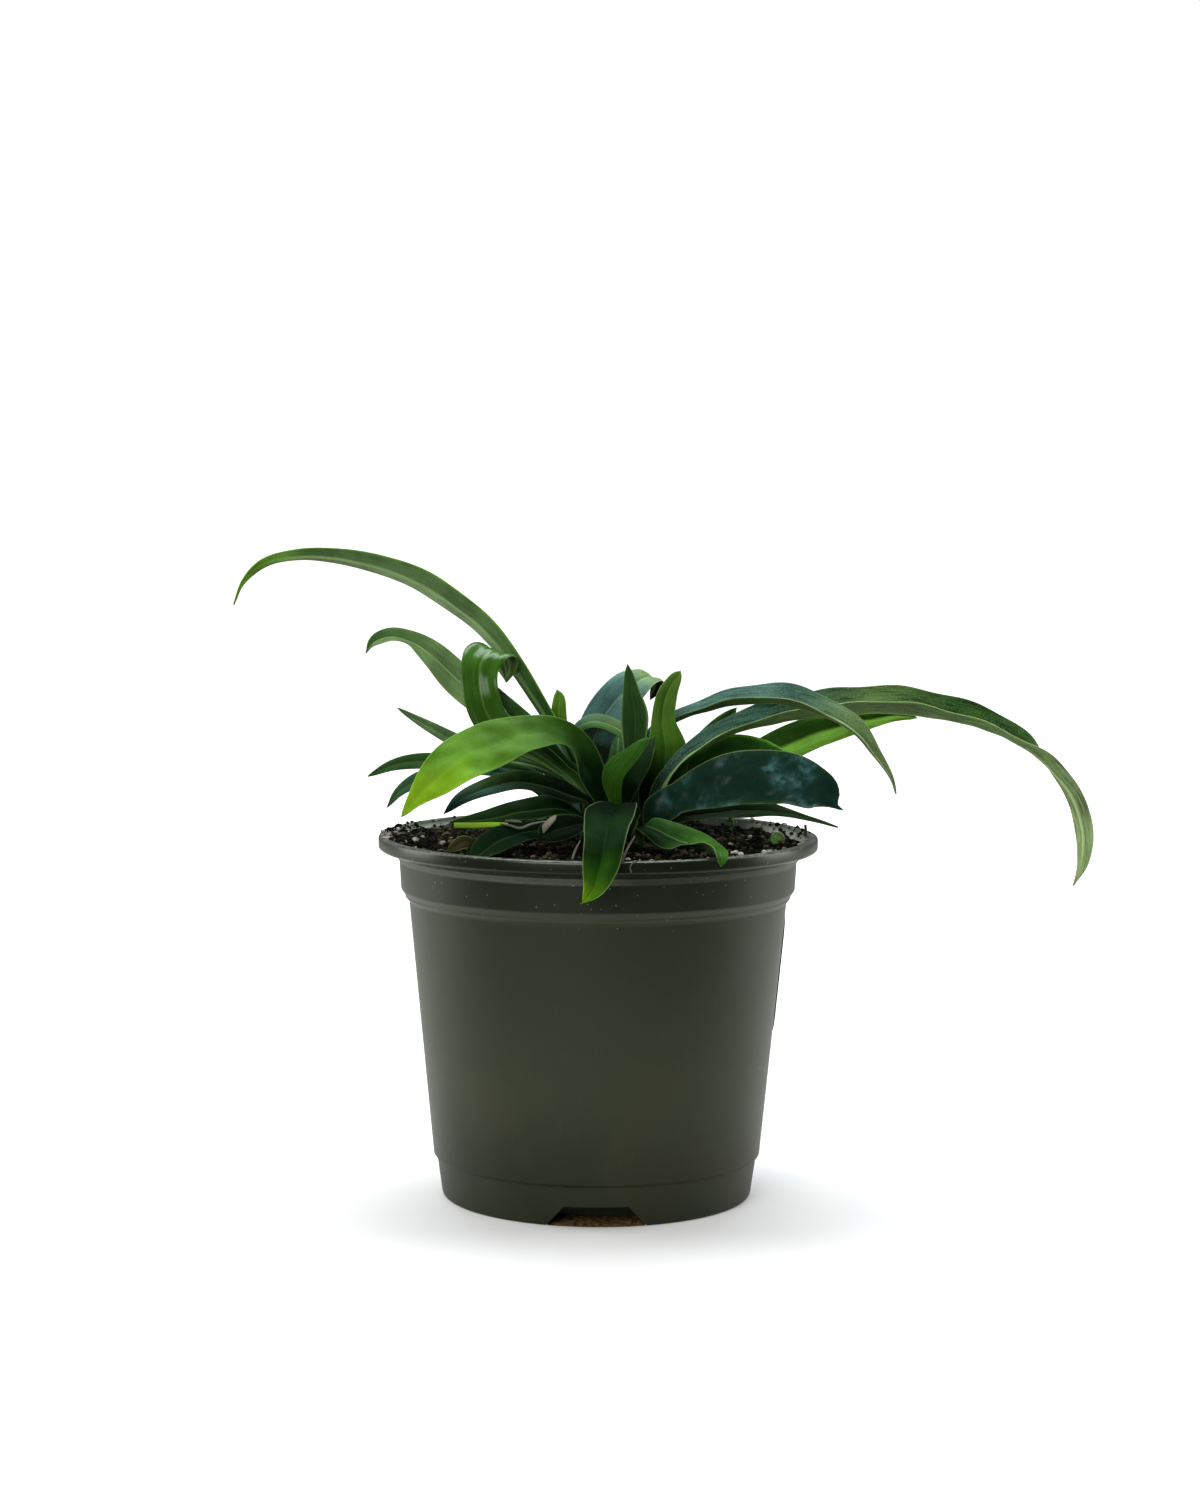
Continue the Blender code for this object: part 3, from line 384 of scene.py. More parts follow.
def makePot():
    body = turnedMesh("pot_moulded", roundedLine(pot["lines"]), pot["sides"])
    tools = []
    for angle in pot["channelAngles"]:
        high = pot["channelHeight"] + pot["wall"]
        low = (0.5, pot["channelLow"] + pot["wall"], pot["foot"] - 0.8)
        top = (high, pot["channelTop"] + pot["wall"], pot["foot"] - 0.1)
        tools.append((channelBlock(angle, pot["channelInner"] - pot["wall"], low, top), "UNION"))
    for angle in pot["channelAngles"]:
        slope = (pot["channelLow"] - pot["channelTop"]) / pot["channelHeight"]
        low = (-1.0, pot["channelLow"] + slope, pot["beyond"])
        top = (pot["channelHeight"], pot["channelTop"], pot["beyond"])
        tools.append((channelBlock(angle, pot["channelInner"], low, top), "DIFFERENCE"))
        tools.append((drainBlock(angle), "DIFFERENCE"))
    carve(body, tools)
    body.data.materials.clear()
    body.data.materials.append(potFinish())
    body.data.shade_smooth()
    body.data.set_sharp_from_angle(angle=math.radians(32.0))
    dress(body, ["pot"])
    print("pot", len(body.data.polygons), "faces")


makePot()

# soil
soil = {
    "edge": 50.3, "radius": 48.9, "height": 86.4, "mound": 0.8, "tilt": 0.7, "lumps": 0.35,
    "crown": (6.0, 3.0), "cells": 170, "seed": 11, "lift": 0.35, "liftRight": 0.75, "bank": 0.55,
    "walls": [(49.4, 86.5), (48.0, 84.6), (46.85, 83.0), (46.4, 75.5), (44.9, 73.2), (38.8, 10.6),
              (37.9, 9.0), (36.6, 1.9)],
}


def soilLevel(x, y):
    fromCrown = np.hypot(x - soil["crown"][0], y - soil["crown"][1])
    mound = soil["mound"] * np.exp(-((fromCrown / 20.0) ** 2))
    lumps = soil["lumps"] * np.sin(0.41 * x + 0.8) * np.cos(0.37 * y - 0.5)
    return soil["height"] + mound - soil["tilt"] * x / soil["radius"] + lumps


def soilRelief(rng):
    broad = wander(rng, 14, 14.0, 6.0)
    clods = wander(rng, 26, 5.0, 2.2)
    fine = wander(rng, 40, 2.2, 1.2)

    def height(x, y):
        edge = np.clip((soil["edge"] - np.hypot(x, y)) / 3.0, 0.0, 1.0)
        clod = clods(x, y)
        rough = 0.18 * broad(x, y) + 0.26 * np.abs(clod) + 0.13 * fine(x, y)
        bank = soil["bank"] * np.clip((np.hypot(x, y) - 38.0) / 11.0, 0.0, 1.0) ** 2
        lift = soil["lift"] + soil["liftRight"] * np.clip(x / soil["radius"], 0.0, 1.0) + bank
        return soilLevel(x, y) + rough * (0.3 + 0.7 * edge) - 0.2 + lift

    return height


def soilFinish():
    # damp peat and bark: near black, with warm brown fibres and pale flecks
    board = Board("soilMix", Specular_IOR_Level=0.03)
    place = board.place()
    broad = board.noise(160.0, 5.0, rough=0.6)
    fibre = board.noise(1500.0, 4.0, board.stretch(place, (1.0, 0.35, 1.0)))
    fleck = board.cells(1500.0)
    pick = board.part(board.cells(1500.0, "Color"), 1)
    colour = board.paint(
        linear(8, 9, 6), (linear(26, 27, 18), broad.step(0.35, 0.7)),
        (linear(64, 60, 42), fibre.step(0.56, 0.75) * 0.5),
        (linear(120, 112, 90), fleck.step(0.35, 0.1) * pick.step(0.93, 0.95)))
    return board.finish(colour, 0.9, [(broad, 0.5, 0.5), (fibre, 0.6, 0.25)])


def makeSoil(finish):
    rng = np.random.default_rng(soil["seed"])
    height = soilRelief(rng)
    count = soil["cells"]
    gridX, gridY = np.meshgrid(*[np.linspace(-1.0, 1.0, count + 1)] * 2)
    # a square of cells squeezed into a disc
    x = soil["edge"] * gridX * np.sqrt(1.0 - gridY ** 2 / 2.0)
    y = soil["edge"] * gridY * np.sqrt(1.0 - gridX ** 2 / 2.0)
    points = np.stack([x, y, height(x, y)], axis=-1).reshape(-1, 3).tolist()
    wide = count + 1
    faces = [(j * wide + i, j * wide + i + 1, (j + 1) * wide + i + 1, (j + 1) * wide + i)
             for j in range(count) for i in range(count)]
    ring = gridBorder(count, count)
    turns = [math.atan2(points[i][1], points[i][0]) for i in ring]
    for r, z in soil["walls"]:
        lower = list(range(len(points), len(points) + len(turns)))
        points += [(r * math.cos(t), r * math.sin(t), z) for t in turns]
        for k in range(len(turns)):
            n = (k + 1) % len(turns)
            faces.append((ring[n], ring[k], lower[k], lower[n]))
        ring = lower
    faces.append(tuple(ring[::-1]))
    body = meshObject("soil_fill", points, faces, finish, "soil", ["soil"])
    tools = []
    for angle in pot["channelAngles"]:
        low = (0.0, pot["channelLow"] + pot["wall"] + 0.75, pot["beyond"])
        top = (pot["channelHeight"] + pot["wall"] + 0.3, pot["channelTop"] + pot["wall"] + 0.3, pot["beyond"])
        tools.append((channelBlock(angle, pot["channelInner"] - pot["wall"] - 0.3, low, top), "DIFFERENCE"))
    carve(body, tools)
    print("soil", len(body.data.polygons), "faces")
    return height


# a crust of washed-out grit lies in the front drain channel, under the notch in the foot
grit = {"angle": -90.0, "inner": 26.9, "outer": 37.4, "half": 11.6, "low": 0.02, "thin": 0.06, "high": 0.5,
        "cells": (72, 30), "seed": 47}


def gritFinish():
    board = Board("channelGrit", Specular_IOR_Level=0.1)
    sand = board.noise(900.0, 4.0)
    fine = board.noise(2800.0, 3.0)
    colour = board.paint(linear(58, 46, 28), (linear(122, 98, 64), sand.step(0.3, 0.65)),
                         (linear(26, 20, 12), fine.step(0.58, 0.72) * 0.8))
    return board.finish(colour, 0.9, [(sand, 0.5, 0.15), (fine, 0.5, 0.06)])


def makeGrit():
    rng = np.random.default_rng(grit["seed"])
    lumps = wander(rng, 30, 3.0, 0.8)
    wide, deep = grit["cells"]
    turn = math.radians(grit["angle"])
    layers = []
    for top in (False, True):
        for j in range(deep + 1):
            for i in range(wide + 1):
                side = 2.0 * i / wide - 1.0
                y = side * grit["half"]
                outer = math.sqrt(grit["outer"] ** 2 - y ** 2)
                x = grit["inner"] + (outer - grit["inner"]) * j / deep
                border = min(1.0, 9.0 * (1.0 - abs(side)), 6.0 * (1.0 - j / deep))
                rise = grit["high"] * (0.55 + 0.3 * lumps(x, y)) * border
                z = grit["thin"] + max(0.0, rise) if top else grit["low"]
                layers.append((x * math.cos(turn) - y * math.sin(turn),
                               x * math.sin(turn) + y * math.cos(turn), z))
    meshObject("channel_grit", layers, slabFaces(wide, deep), gritFinish(), "soil")


makeGrit()


# loose lumps: rough stones, a ball of flat faces with every corner moved a little
def lumpShape(fineness):
    bm = bmesh.new()
    bmesh.ops.create_icosphere(bm, subdivisions=fineness, radius=1.0)
    bm.verts.ensure_lookup_table()
    points = np.array([v.co for v in bm.verts])
    faces = [tuple(v.index for v in f.verts) for f in bm.faces]
    bm.free()
    return points, np.array(faces)


def scatter(name, shape, spots, finish, slot, rng, uneven=0.22, flat=0.75):
    # spots are (x, y, z, size, stretch)
    base, faces = shape
    points, corners, tones = [], [], []
    for x, y, z, size, stretch in spots:
        turn = Matrix.Rotation(rng.uniform(0.0, 2.0 * math.pi), 3, "Z")
        lean = Matrix.Rotation(rng.uniform(-0.5, 0.5), 3, "X")
        matrix = np.array(turn @ lean)
        own = base * (1.0 + rng.uniform(-uneven, uneven, (len(base), 1)))
        own = own * np.array((stretch, 1.0, flat)) * 0.5 * size
        corners.append(faces + sum(len(p) for p in points))
        points.append(own @ matrix.T + np.array((x, y, z)))
        tones += [rng.uniform()] * len(base)
    piece = meshObject(name, np.concatenate(points), np.concatenate(corners).tolist(), finish, slot,
                       smooth=False)
    addVectors(piece, "lumpTone", [(t, t, t) for t in tones])


def lumpFinish(name, dark, pale, rough, power=1.0):
    board = Board(name, Specular_IOR_Level=0.05)
    tone = board.part(board.attribute("lumpTone"), 0) ** power
    grain = board.noise(2200.0, 4.0)
    stain = board.noise(420.0, 3.0)
    shade = tone * 0.8 + (grain - 0.5) * 0.3
    colour = board.paint(dark, (pale, shade), (linear(30, 26, 18), stain.step(0.52, 0.72) * 0.5))
    return board.finish(colour, rough, [(grain, 0.6, 0.12)])


grains = {
    "crumbs": 4200, "chips": 110, "perlite": 60, "seed": 23, "reach": 49.6,
    "rimCrumbs": (  # count, middle and spread in degrees, lowest and highest radius
        (95, 167, 7, 50.4, 53.3), (34, 20, 8, 50.4, 52.8), (40, 215, 22, 50.3, 51.9),
        (50, 100, 45, 50.3, 51.8), (26, 300, 30, 50.3, 51.8),
    ),
    "rimPerlite": ((34, 176, 9, 50.4, 53.4), (60, 318, 26, 50.2, 51.6), (14, 28, 10, 50.4, 52.6)),
    "lumps": (  # the larger white lumps that the photo shows: x, y and size
        (-43.1, 19.2, 1.1), (-44.7, -3.4, 1.9), (-37.9, -8.1, 1.5), (-43.5, 6.0, 1.1), (-47.2, -6.5, 1.2),
        (-33.5, -33.0, 0.9), (40.9, 29.0, 2.0), (32.8, -20.9, 1.8), (29.6, 5.8, 0.9), (38.0, 12.0, 1.2),
        (24.0, -38.5, 1.1), (31.5, -36.0, 1.3), (-9.0, -46.0, 0.8), (12.0, -45.5, 0.9),
    ),
}


def discSpots(rng, count, reach):
    radius = reach * np.sqrt(rng.uniform(0.0, 1.0, count))
    turn = rng.uniform(0.0, 2.0 * math.pi, count)
    return radius * np.cos(turn), radius * np.sin(turn)


def rimSpots(rng, rows):
    # bits that lie on the lip of the pot
    spots = []
    for count, middle, spread, low, high in rows:
        turn = np.radians(rng.normal(middle, spread, count))
        radius = low + (high - low) * rng.uniform(0.0, 1.0, count) ** 1.5
        z = np.interp(radius, (49.7, 51.6, 54.0), (87.2, 89.3, 89.3))
        size = np.clip(rng.lognormal(-0.6, 0.5, count), 0.25, 1.3)
        spots += list(zip(radius * np.cos(turn), radius * np.sin(turn), z + 0.2 * size, size,
                          rng.uniform(0.9, 1.4, count)))
    return spots


def makeGrains(height):
    rng = np.random.default_rng(grains["seed"])
    x, y = discSpots(rng, grains["crumbs"], grains["reach"])
    size = np.clip(rng.lognormal(-0.25, 0.5, len(x)), 0.3, 2.2)
    spots = list(zip(x, y, height(x, y) + 0.12 * size, size, rng.uniform(0.9, 1.6, len(x))))
    spots += rimSpots(rng, grains["rimCrumbs"])
    dark = lumpFinish("peatCrumb", linear(9, 9, 6), linear(88, 85, 64), 0.95, 4.5)
    scatter("soil_crumbs", lumpShape(1), spots, dark, "soil", rng, 0.3)
    x, y = discSpots(rng, grains["chips"], grains["reach"])
    size = rng.uniform(0.4, 0.9, len(x))
    spots = list(zip(x, y, height(x, y) + 0.25, size, rng.uniform(2.5, 5.0, len(x))))
    bark = lumpFinish("barkChip", linear(20, 19, 13), linear(74, 68, 50), 0.85)
    scatter("soil_chips", lumpShape(1), spots, bark, "soil", rng, 0.2, 0.5)
    x, y = discSpots(rng, grains["perlite"], grains["reach"])
    size = np.clip(rng.lognormal(-0.4, 0.4, len(x)), 0.35, 1.4)
    spots = list(zip(x, y, height(x, y) + 0.25 * size, size, rng.uniform(0.9, 1.3, len(x))))
    for px, py, big in grains["lumps"]:
        spots.append((px, py, float(height(px, py)) + 0.3 * big, big, 1.2))
    spots += rimSpots(rng, grains["rimPerlite"])
    white = lumpFinish("perlite", linear(112, 110, 98), linear(186, 184, 172), 0.8)
    scatter("soil_perlite", lumpShape(2), spots, white, "soil", rng, 0.16, 0.8)
    print("grains", grains["crumbs"] + grains["chips"] + grains["perlite"])


soilHeight = makeSoil(soilFinish())
makeGrains(soilHeight)


# smooth routes and thin round strands
def curveThrough(rows, spacing=None, count=None):
    # the same kind of curve as the solid's: Catmull-Rom with centripetal knots, evenly spaced rows
    points = np.array(rows, float)
    points = np.vstack([2 * points[0] - points[1], points, 2 * points[-1] - points[-2]])
    steps = np.sqrt(np.linalg.norm(np.diff(points[:, :3], axis=0), axis=1))
    knots = np.concatenate([[0.0], np.cumsum(steps)])

    def blend(start, end, low, high, at):
        return ((high - at) * start + (at - low) * end) / (high - low)

    def rowAt(t):
        i = int(np.clip(np.searchsorted(knots, t), 2, len(points) - 2)) - 2
        p, k = points[i:i + 4], knots[i:i + 4]
        first = [blend(p[j], p[j + 1], k[j], k[j + 1], t) for j in range(3)]
        second = [blend(first[j], first[j + 1], k[j], k[j + 2], t) for j in range(2)]
        return blend(second[0], second[1], k[1], k[2], t)

    fine = np.linspace(knots[1], knots[-2], 400)
    places = np.array([rowAt(t)[:3] for t in fine])
    lengths = np.concatenate([[0.0], np.cumsum(np.linalg.norm(np.diff(places, axis=0), axis=1))])
    count = count or int(np.clip(round(lengths[-1] / spacing), 10, 240))
    even = np.interp(np.linspace(0.0, lengths[-1], count), lengths, fine)
    return np.array([rowAt(t) for t in even]), lengths[-1]


def unit(vectors):
    return vectors / np.linalg.norm(vectors, axis=-1, keepdims=True)


def strand(name, rows, finish, slot, sides=8, spacing=0.6, replaced=(), flat=1.0):
    # rows are x, y, z, radius; flat widens or narrows it in its second direction
    line, _ = curveThrough(rows, spacing)
    tangent = unit(np.gradient(line[:, :3], axis=0))
    side = unit(np.cross(tangent, (0.31, 0.17, 0.94)))
    other = np.cross(tangent, side)
    turns = 2.0 * math.pi * np.arange(sides) / sides
    rings = [p[:3] + p[3] * (math.cos(t) * s + flat * math.sin(t) * o)
             for p, s, o in zip(line, side, other) for t in turns]
    faces = [(i * sides + k, i * sides + (k + 1) % sides, (i + 1) * sides + (k + 1) % sides,
              (i + 1) * sides + k) for i in range(len(line) - 1) for k in range(sides)]
    last = (len(line) - 1) * sides
    faces += [tuple(range(sides))[::-1], tuple(range(last, last + sides))]
    piece = meshObject(name, rings, faces, finish, slot, replaced)
    share = np.repeat(np.linspace(0.0, 1.0, len(line)), sides)
    addVectors(piece, "strandShare", np.stack([share, share, share], axis=1))


def strandFinish(name, foot, tip, rough):
    board = Board(name)
    share = board.part(board.attribute("strandShare"), 0)
    grain = board.noise(1800.0, 3.0)
    colour = board.paint(foot, (tip, share.step(0.1, 0.9)), (foot, grain.step(0.5, 0.75) * 0.3))
    return board.finish(colour, rough, [(grain, 0.3, 0.08)])


# leaves
# slate and ash are partly the fronds' own blue-grey and pale undersides and partly painted reflection and
# highlight of the soft light on the blades
palette = {
    "lime": linear(122, 162, 30), "spring": linear(92, 138, 42), "grass": linear(64, 106, 26),
    "leaf": linear(52, 88, 30), "moss": linear(48, 78, 38), "deep": linear(22, 44, 18),
    "ink": linear(11, 24, 12), "sage": linear(86, 114, 70), "ash": linear(122, 148, 106),
    "slate": linear(62, 96, 88), "blue": linear(52, 84, 84), "petrol": linear(16, 38, 34),
    "dry": linear(88, 88, 74), "fern": linear(76, 116, 34), "bark": linear(56, 54, 32),
}
leafBuild = {
    "foot": 82.0, "neck": 88.0, "stipeHalf": 0.7, "stipeThick": 1.4, "stipeFold": 15.0, "spread": 1.4,
    "leastHalf": 0.4, "waveLength": 17.0, "waveShift": 1.3, "columns": 24, "spacing": 0.9,
    "bladeThick": 0.42, "edgeThick": 0.2, "grooveDeep": 0.14, "grooveWide": 0.35, "ribDeep": 0.3,
    "ribWide": 0.42, "tipRound": 2.2, "underGloss": 0.3,
}
# what a frond has where its own entry says nothing else
leafUsual = {
    "folded": 1.0, "crease": 0.25, "wave": 0.3, "dome": False, "bulge": 0.12, "quilt": 0.14,
    "quiltWaves": (15.0, 5.0), "pleat": 0.0, "pleats": 2.0, "flare": 0.0, "rib": 1.0, "neckHalf": 1.5,
    "gloss": 0.5, "shade": "satin", "tintAndShade": (1.0, 1.0, 1.0), "under": "0 moss, 1 sage", "rim": None,
    "line": 0.4, "frost": 0.015, "edge": 0.22, "veins": 0.25,
}


def leafFinish(name, specular, paintedSheen=0.0):
    # the body colour and the gloss come with the mesh; mottling, midrib, the pale margin and, for the waxy
    # finish, a painted bluish sheen are added here
    board = Board(name, Specular_IOR_Level=specular)
    spot = board.attribute("leafSpot")
    across, along, half = (board.part(spot, axis) for axis in range(3))
    mark = board.attribute("leafMark")
    lined, frosted, edged = (board.part(mark, axis) for axis in range(3))
    veined = board.attribute("leafMark", "Alpha")
    tone = board.attribute("leafTone", "Color")
    gloss = board.attribute("leafTone", "Alpha")
    aside = across.size()
    cloud = board.noise(110.0, 4.0)
    speck = board.noise(2600.0, 3.0)
    drift = board.noise(520.0, 3.0)
    streak = board.noise(1.0, 3.0, board.stretch(spot, (2.2, 0.12, 0.0)))
    midrib = aside.step(0.42, 0.12) * half.step(1.2, 2.4) * lined
    margin = (half - aside).step(0.30, 0.06) * half.step(0.9, 1.8) * edged
    light = board.mix(tone, (2.0, 1.85, 1.7), 1.0, "MULTIPLY")
    pale = board.mix(light, linear(158, 180, 128), 0.25)
    colour = board.paint(
        tone, (linear(8, 22, 8), cloud.step(0.6, 0.3) * 0.35),
        (linear(8, 22, 10), streak.step(0.52, 0.3) * veined),
        (light, cloud.step(0.54, 0.8) * 0.3 + streak.step(0.55, 0.8) * veined))
    # painted sheen: cloudy bluish-white patches standing for the reflection of the soft light on a glossy
    # blade
    if paintedSheen:
        paintedSheenMask = cloud.step(0.5, 0.68) * drift.step(0.3, 0.65) * paintedSheen
        colour = board.mix(colour, linear(92, 140, 142), paintedSheenMask)
    colour = board.paint(
        colour, (linear(176, 200, 170), speck.step(0.5, 0.78) * frosted),
        (linear(6, 16, 6), speck.step(0.46, 0.25) * 0.25), (pale, midrib), (pale, margin))
    rough = 0.62 - gloss * 0.38 + cloud * 0.06 + drift * 0.05
    bumps = [(cloud, 0.25, 0.7), (streak * veined, 0.8, 0.35), (drift, 0.3, 0.12), (speck, 0.12, 0.03)]
    return board.finish(colour, rough, bumps)


def toneAt(stops, share):
    # colour along one half of a blade; stops are words such as "0 deep, 1 leaf", share and palette name
    places, names = zip(*[stop.split() for stop in stops.split(", ")])
    colours = np.array([palette[name] for name in names])
    at = [float(place) for place in places]
    return np.stack([np.interp(share, at, colours[:, k]) for k in range(3)], axis=-1)


def paintLeaf(piece, spec, u, h, s, length):
    # tells the finish the place on the blade, the tones of both faces and the marks
    size = (len(h), u.shape[1])
    spot = np.stack([u * h, np.broadcast_to(s * length, size), np.broadcast_to(h, size)], axis=-1)
    addVectors(piece, "leafSpot", np.concatenate([spot.reshape(-1, 3)] * 2))
    blend = np.clip(u / 0.08 * 0.5 + 0.5, 0.0, 1.0)[..., None]
    edge = np.clip((np.abs(u) - 0.84) / 0.12, 0.0, 1.0) * np.clip(h / 1.5 - 0.4, 0.0, 1.0)
    tones = []
    halves = (("left", "right", spec["gloss"]), ("under", "underRight", leafBuild["underGloss"]))
    for left, right, gloss in halves:
        tone = toneAt(spec.get(right, spec[left]), s) * (1.0 - blend) + toneAt(spec[left], s) * blend
        if spec["rim"]:
            tone = tone * (1.0 - edge[..., None]) + np.array(palette[spec["rim"]]) * edge[..., None]
        # tintAndShade scales the tones: partly the frond's own colour, partly painted light and shade for how
        # lit the frond is
        tone = np.clip(tone.reshape(-1, 3) * np.array(spec["tintAndShade"]), 0.0, 0.9)
        tones.append(np.hstack([tone, np.full((len(tone), 1), gloss)]))
    addVectors(piece, "leafTone", np.concatenate(tones), "FLOAT_COLOR")
    marks = [spec[key] for key in ("line", "frost", "edge", "veins")]
    addVectors(piece, "leafMark", [marks] * (2 * len(tones[0])), "FLOAT_COLOR")


def makeLeaf(name, spec, finish, seed):
    rng = np.random.default_rng(seed)
    b, spec = leafBuild, {**leafUsual, **spec}
    x, y = spec["root"]
    rows = [(x, y, z, b["stipeHalf"], b["stipeFold"], *spec["face"]) for z in (b["foot"], b["neck"])]
    line, length = curveThrough(rows + spec["rows"], b["spacing"])
    count = len(line)
    middle = line[:, :3]
    half = np.maximum(line[:, 3], b["leastHalf"])
    fold = np.radians(line[:, 4]) * spec["folded"]
    tangent = unit(np.gradient(middle, axis=0))
    face = line[:, 5:8]
    face = unit(face - np.sum(face * tangent, axis=1)[:, None] * tangent)
    across = np.cross(face, tangent)
    share = np.linspace(0.0, 1.0, count)
    along = share * length
    rodLike = np.where(share < 0.5, np.clip(1.0 - (half - b["stipeHalf"]) / b["spread"], 0.0, 1.0), 0.0)
    # the last stretch closes in a round
    left = np.clip((length - along) / b["tipRound"], 0.0, 1.0)
    neck = np.clip((along - 6.0) / 8.0, 0.0, 1.0) * np.clip((0.5 - share) / 0.2, 0.0, 1.0)
    shown = np.maximum(half, spec["neckHalf"] * neck)
    shown = shown * np.sqrt(np.maximum(1.0 - (1.0 - left) ** 2, 0.0025))
    u = -np.cos(np.linspace(0.0, math.pi, b["columns"] + 1))
    u = (0.55 * u + 0.45 * np.linspace(-1.0, 1.0, b["columns"] + 1))[None, :]
    h, s = shown[:, None], share[:, None]
    bladeLike = 1.0 - rodLike[:, None]
    slope = fold[:, None] * (spec["crease"] + (1.0 - spec["crease"]) * np.abs(u))
    turn = 2.0 * math.pi * s * length / b["waveLength"] + np.where(u > 0.0, b["waveShift"], 0.0)
    wave = spec["wave"] * u ** 2 * np.minimum(h / 4.0, 1.0) * np.sin(math.pi * s) * np.sin(turn)
    swell = 1.0 - u ** 2 if spec["dome"] else 1.0 - (2.0 * np.abs(u) - 1.0) ** 2
    bulge = spec["bulge"] * h * swell
    quilting = wander(rng, 16, *spec["quiltWaves"])
    quilt = spec["quilt"] * quilting(u * h, s * length) * np.minimum(h / 3.0, 1.0)
    pleat = spec["pleat"] * np.cos(math.pi * u * spec["pleats"]) * np.minimum(h / 3.0, 1.0)
    flare = spec["flare"] * np.clip((-u - 0.55) / 0.45, 0.0, 1.0) ** 1.6 * np.minimum(h / 5.0, 1.0)
    side = h * u * np.cos(slope)
    rise = h * np.abs(u) * np.sin(slope) + wave + flare + (bulge + quilt + pleat) * bladeLike * (1.0 - u ** 8)
    centre = middle[:, None, :] + across[:, None, :] * side[..., None] + face[:, None, :] * rise[..., None]
    # thickness: a rod at the foot, a thin blade with a rib below and a groove above further out
    blade = b["edgeThick"] + (b["bladeThick"] - b["edgeThick"]) * (1.0 - u ** 4)
    rod = b["stipeThick"] * np.sqrt(np.maximum(1.0 - u ** 2, 0.0)) + 0.06
    ribFade = np.clip(h / 3.0, 0.0, 1.0) * (1.0 - 0.6 * s)
    distance = np.abs(u) * h
    rib = b["ribDeep"] * np.exp(-((distance / b["ribWide"]) ** 2)) * ribFade
    groove = spec["rib"] * b["grooveDeep"] * np.exp(-((distance / b["grooveWide"]) ** 2)) * ribFade
    thick = 0.5 * (bladeLike * blade + (1.0 - bladeLike) * rod)
    upper = thick - groove * bladeLike
    lower = thick + rib * bladeLike
    normal = unit(np.cross(np.gradient(centre, axis=1), np.gradient(centre, axis=0)))
    normal = normal * np.sign(np.sum(normal * face[:, None, :], axis=-1, keepdims=True))
    top = (centre + normal * upper[..., None]).reshape(-1, 3)
    under = (centre - normal * lower[..., None]).reshape(-1, 3)
    piece = meshObject("leaf_" + name.replace("frond_", ""), np.vstack([top, under]),
                       slabFaces(b["columns"], count - 1), finish, "leaf_" + spec["leaf"], [name])
    paintLeaf(piece, spec, u, h, s, length)
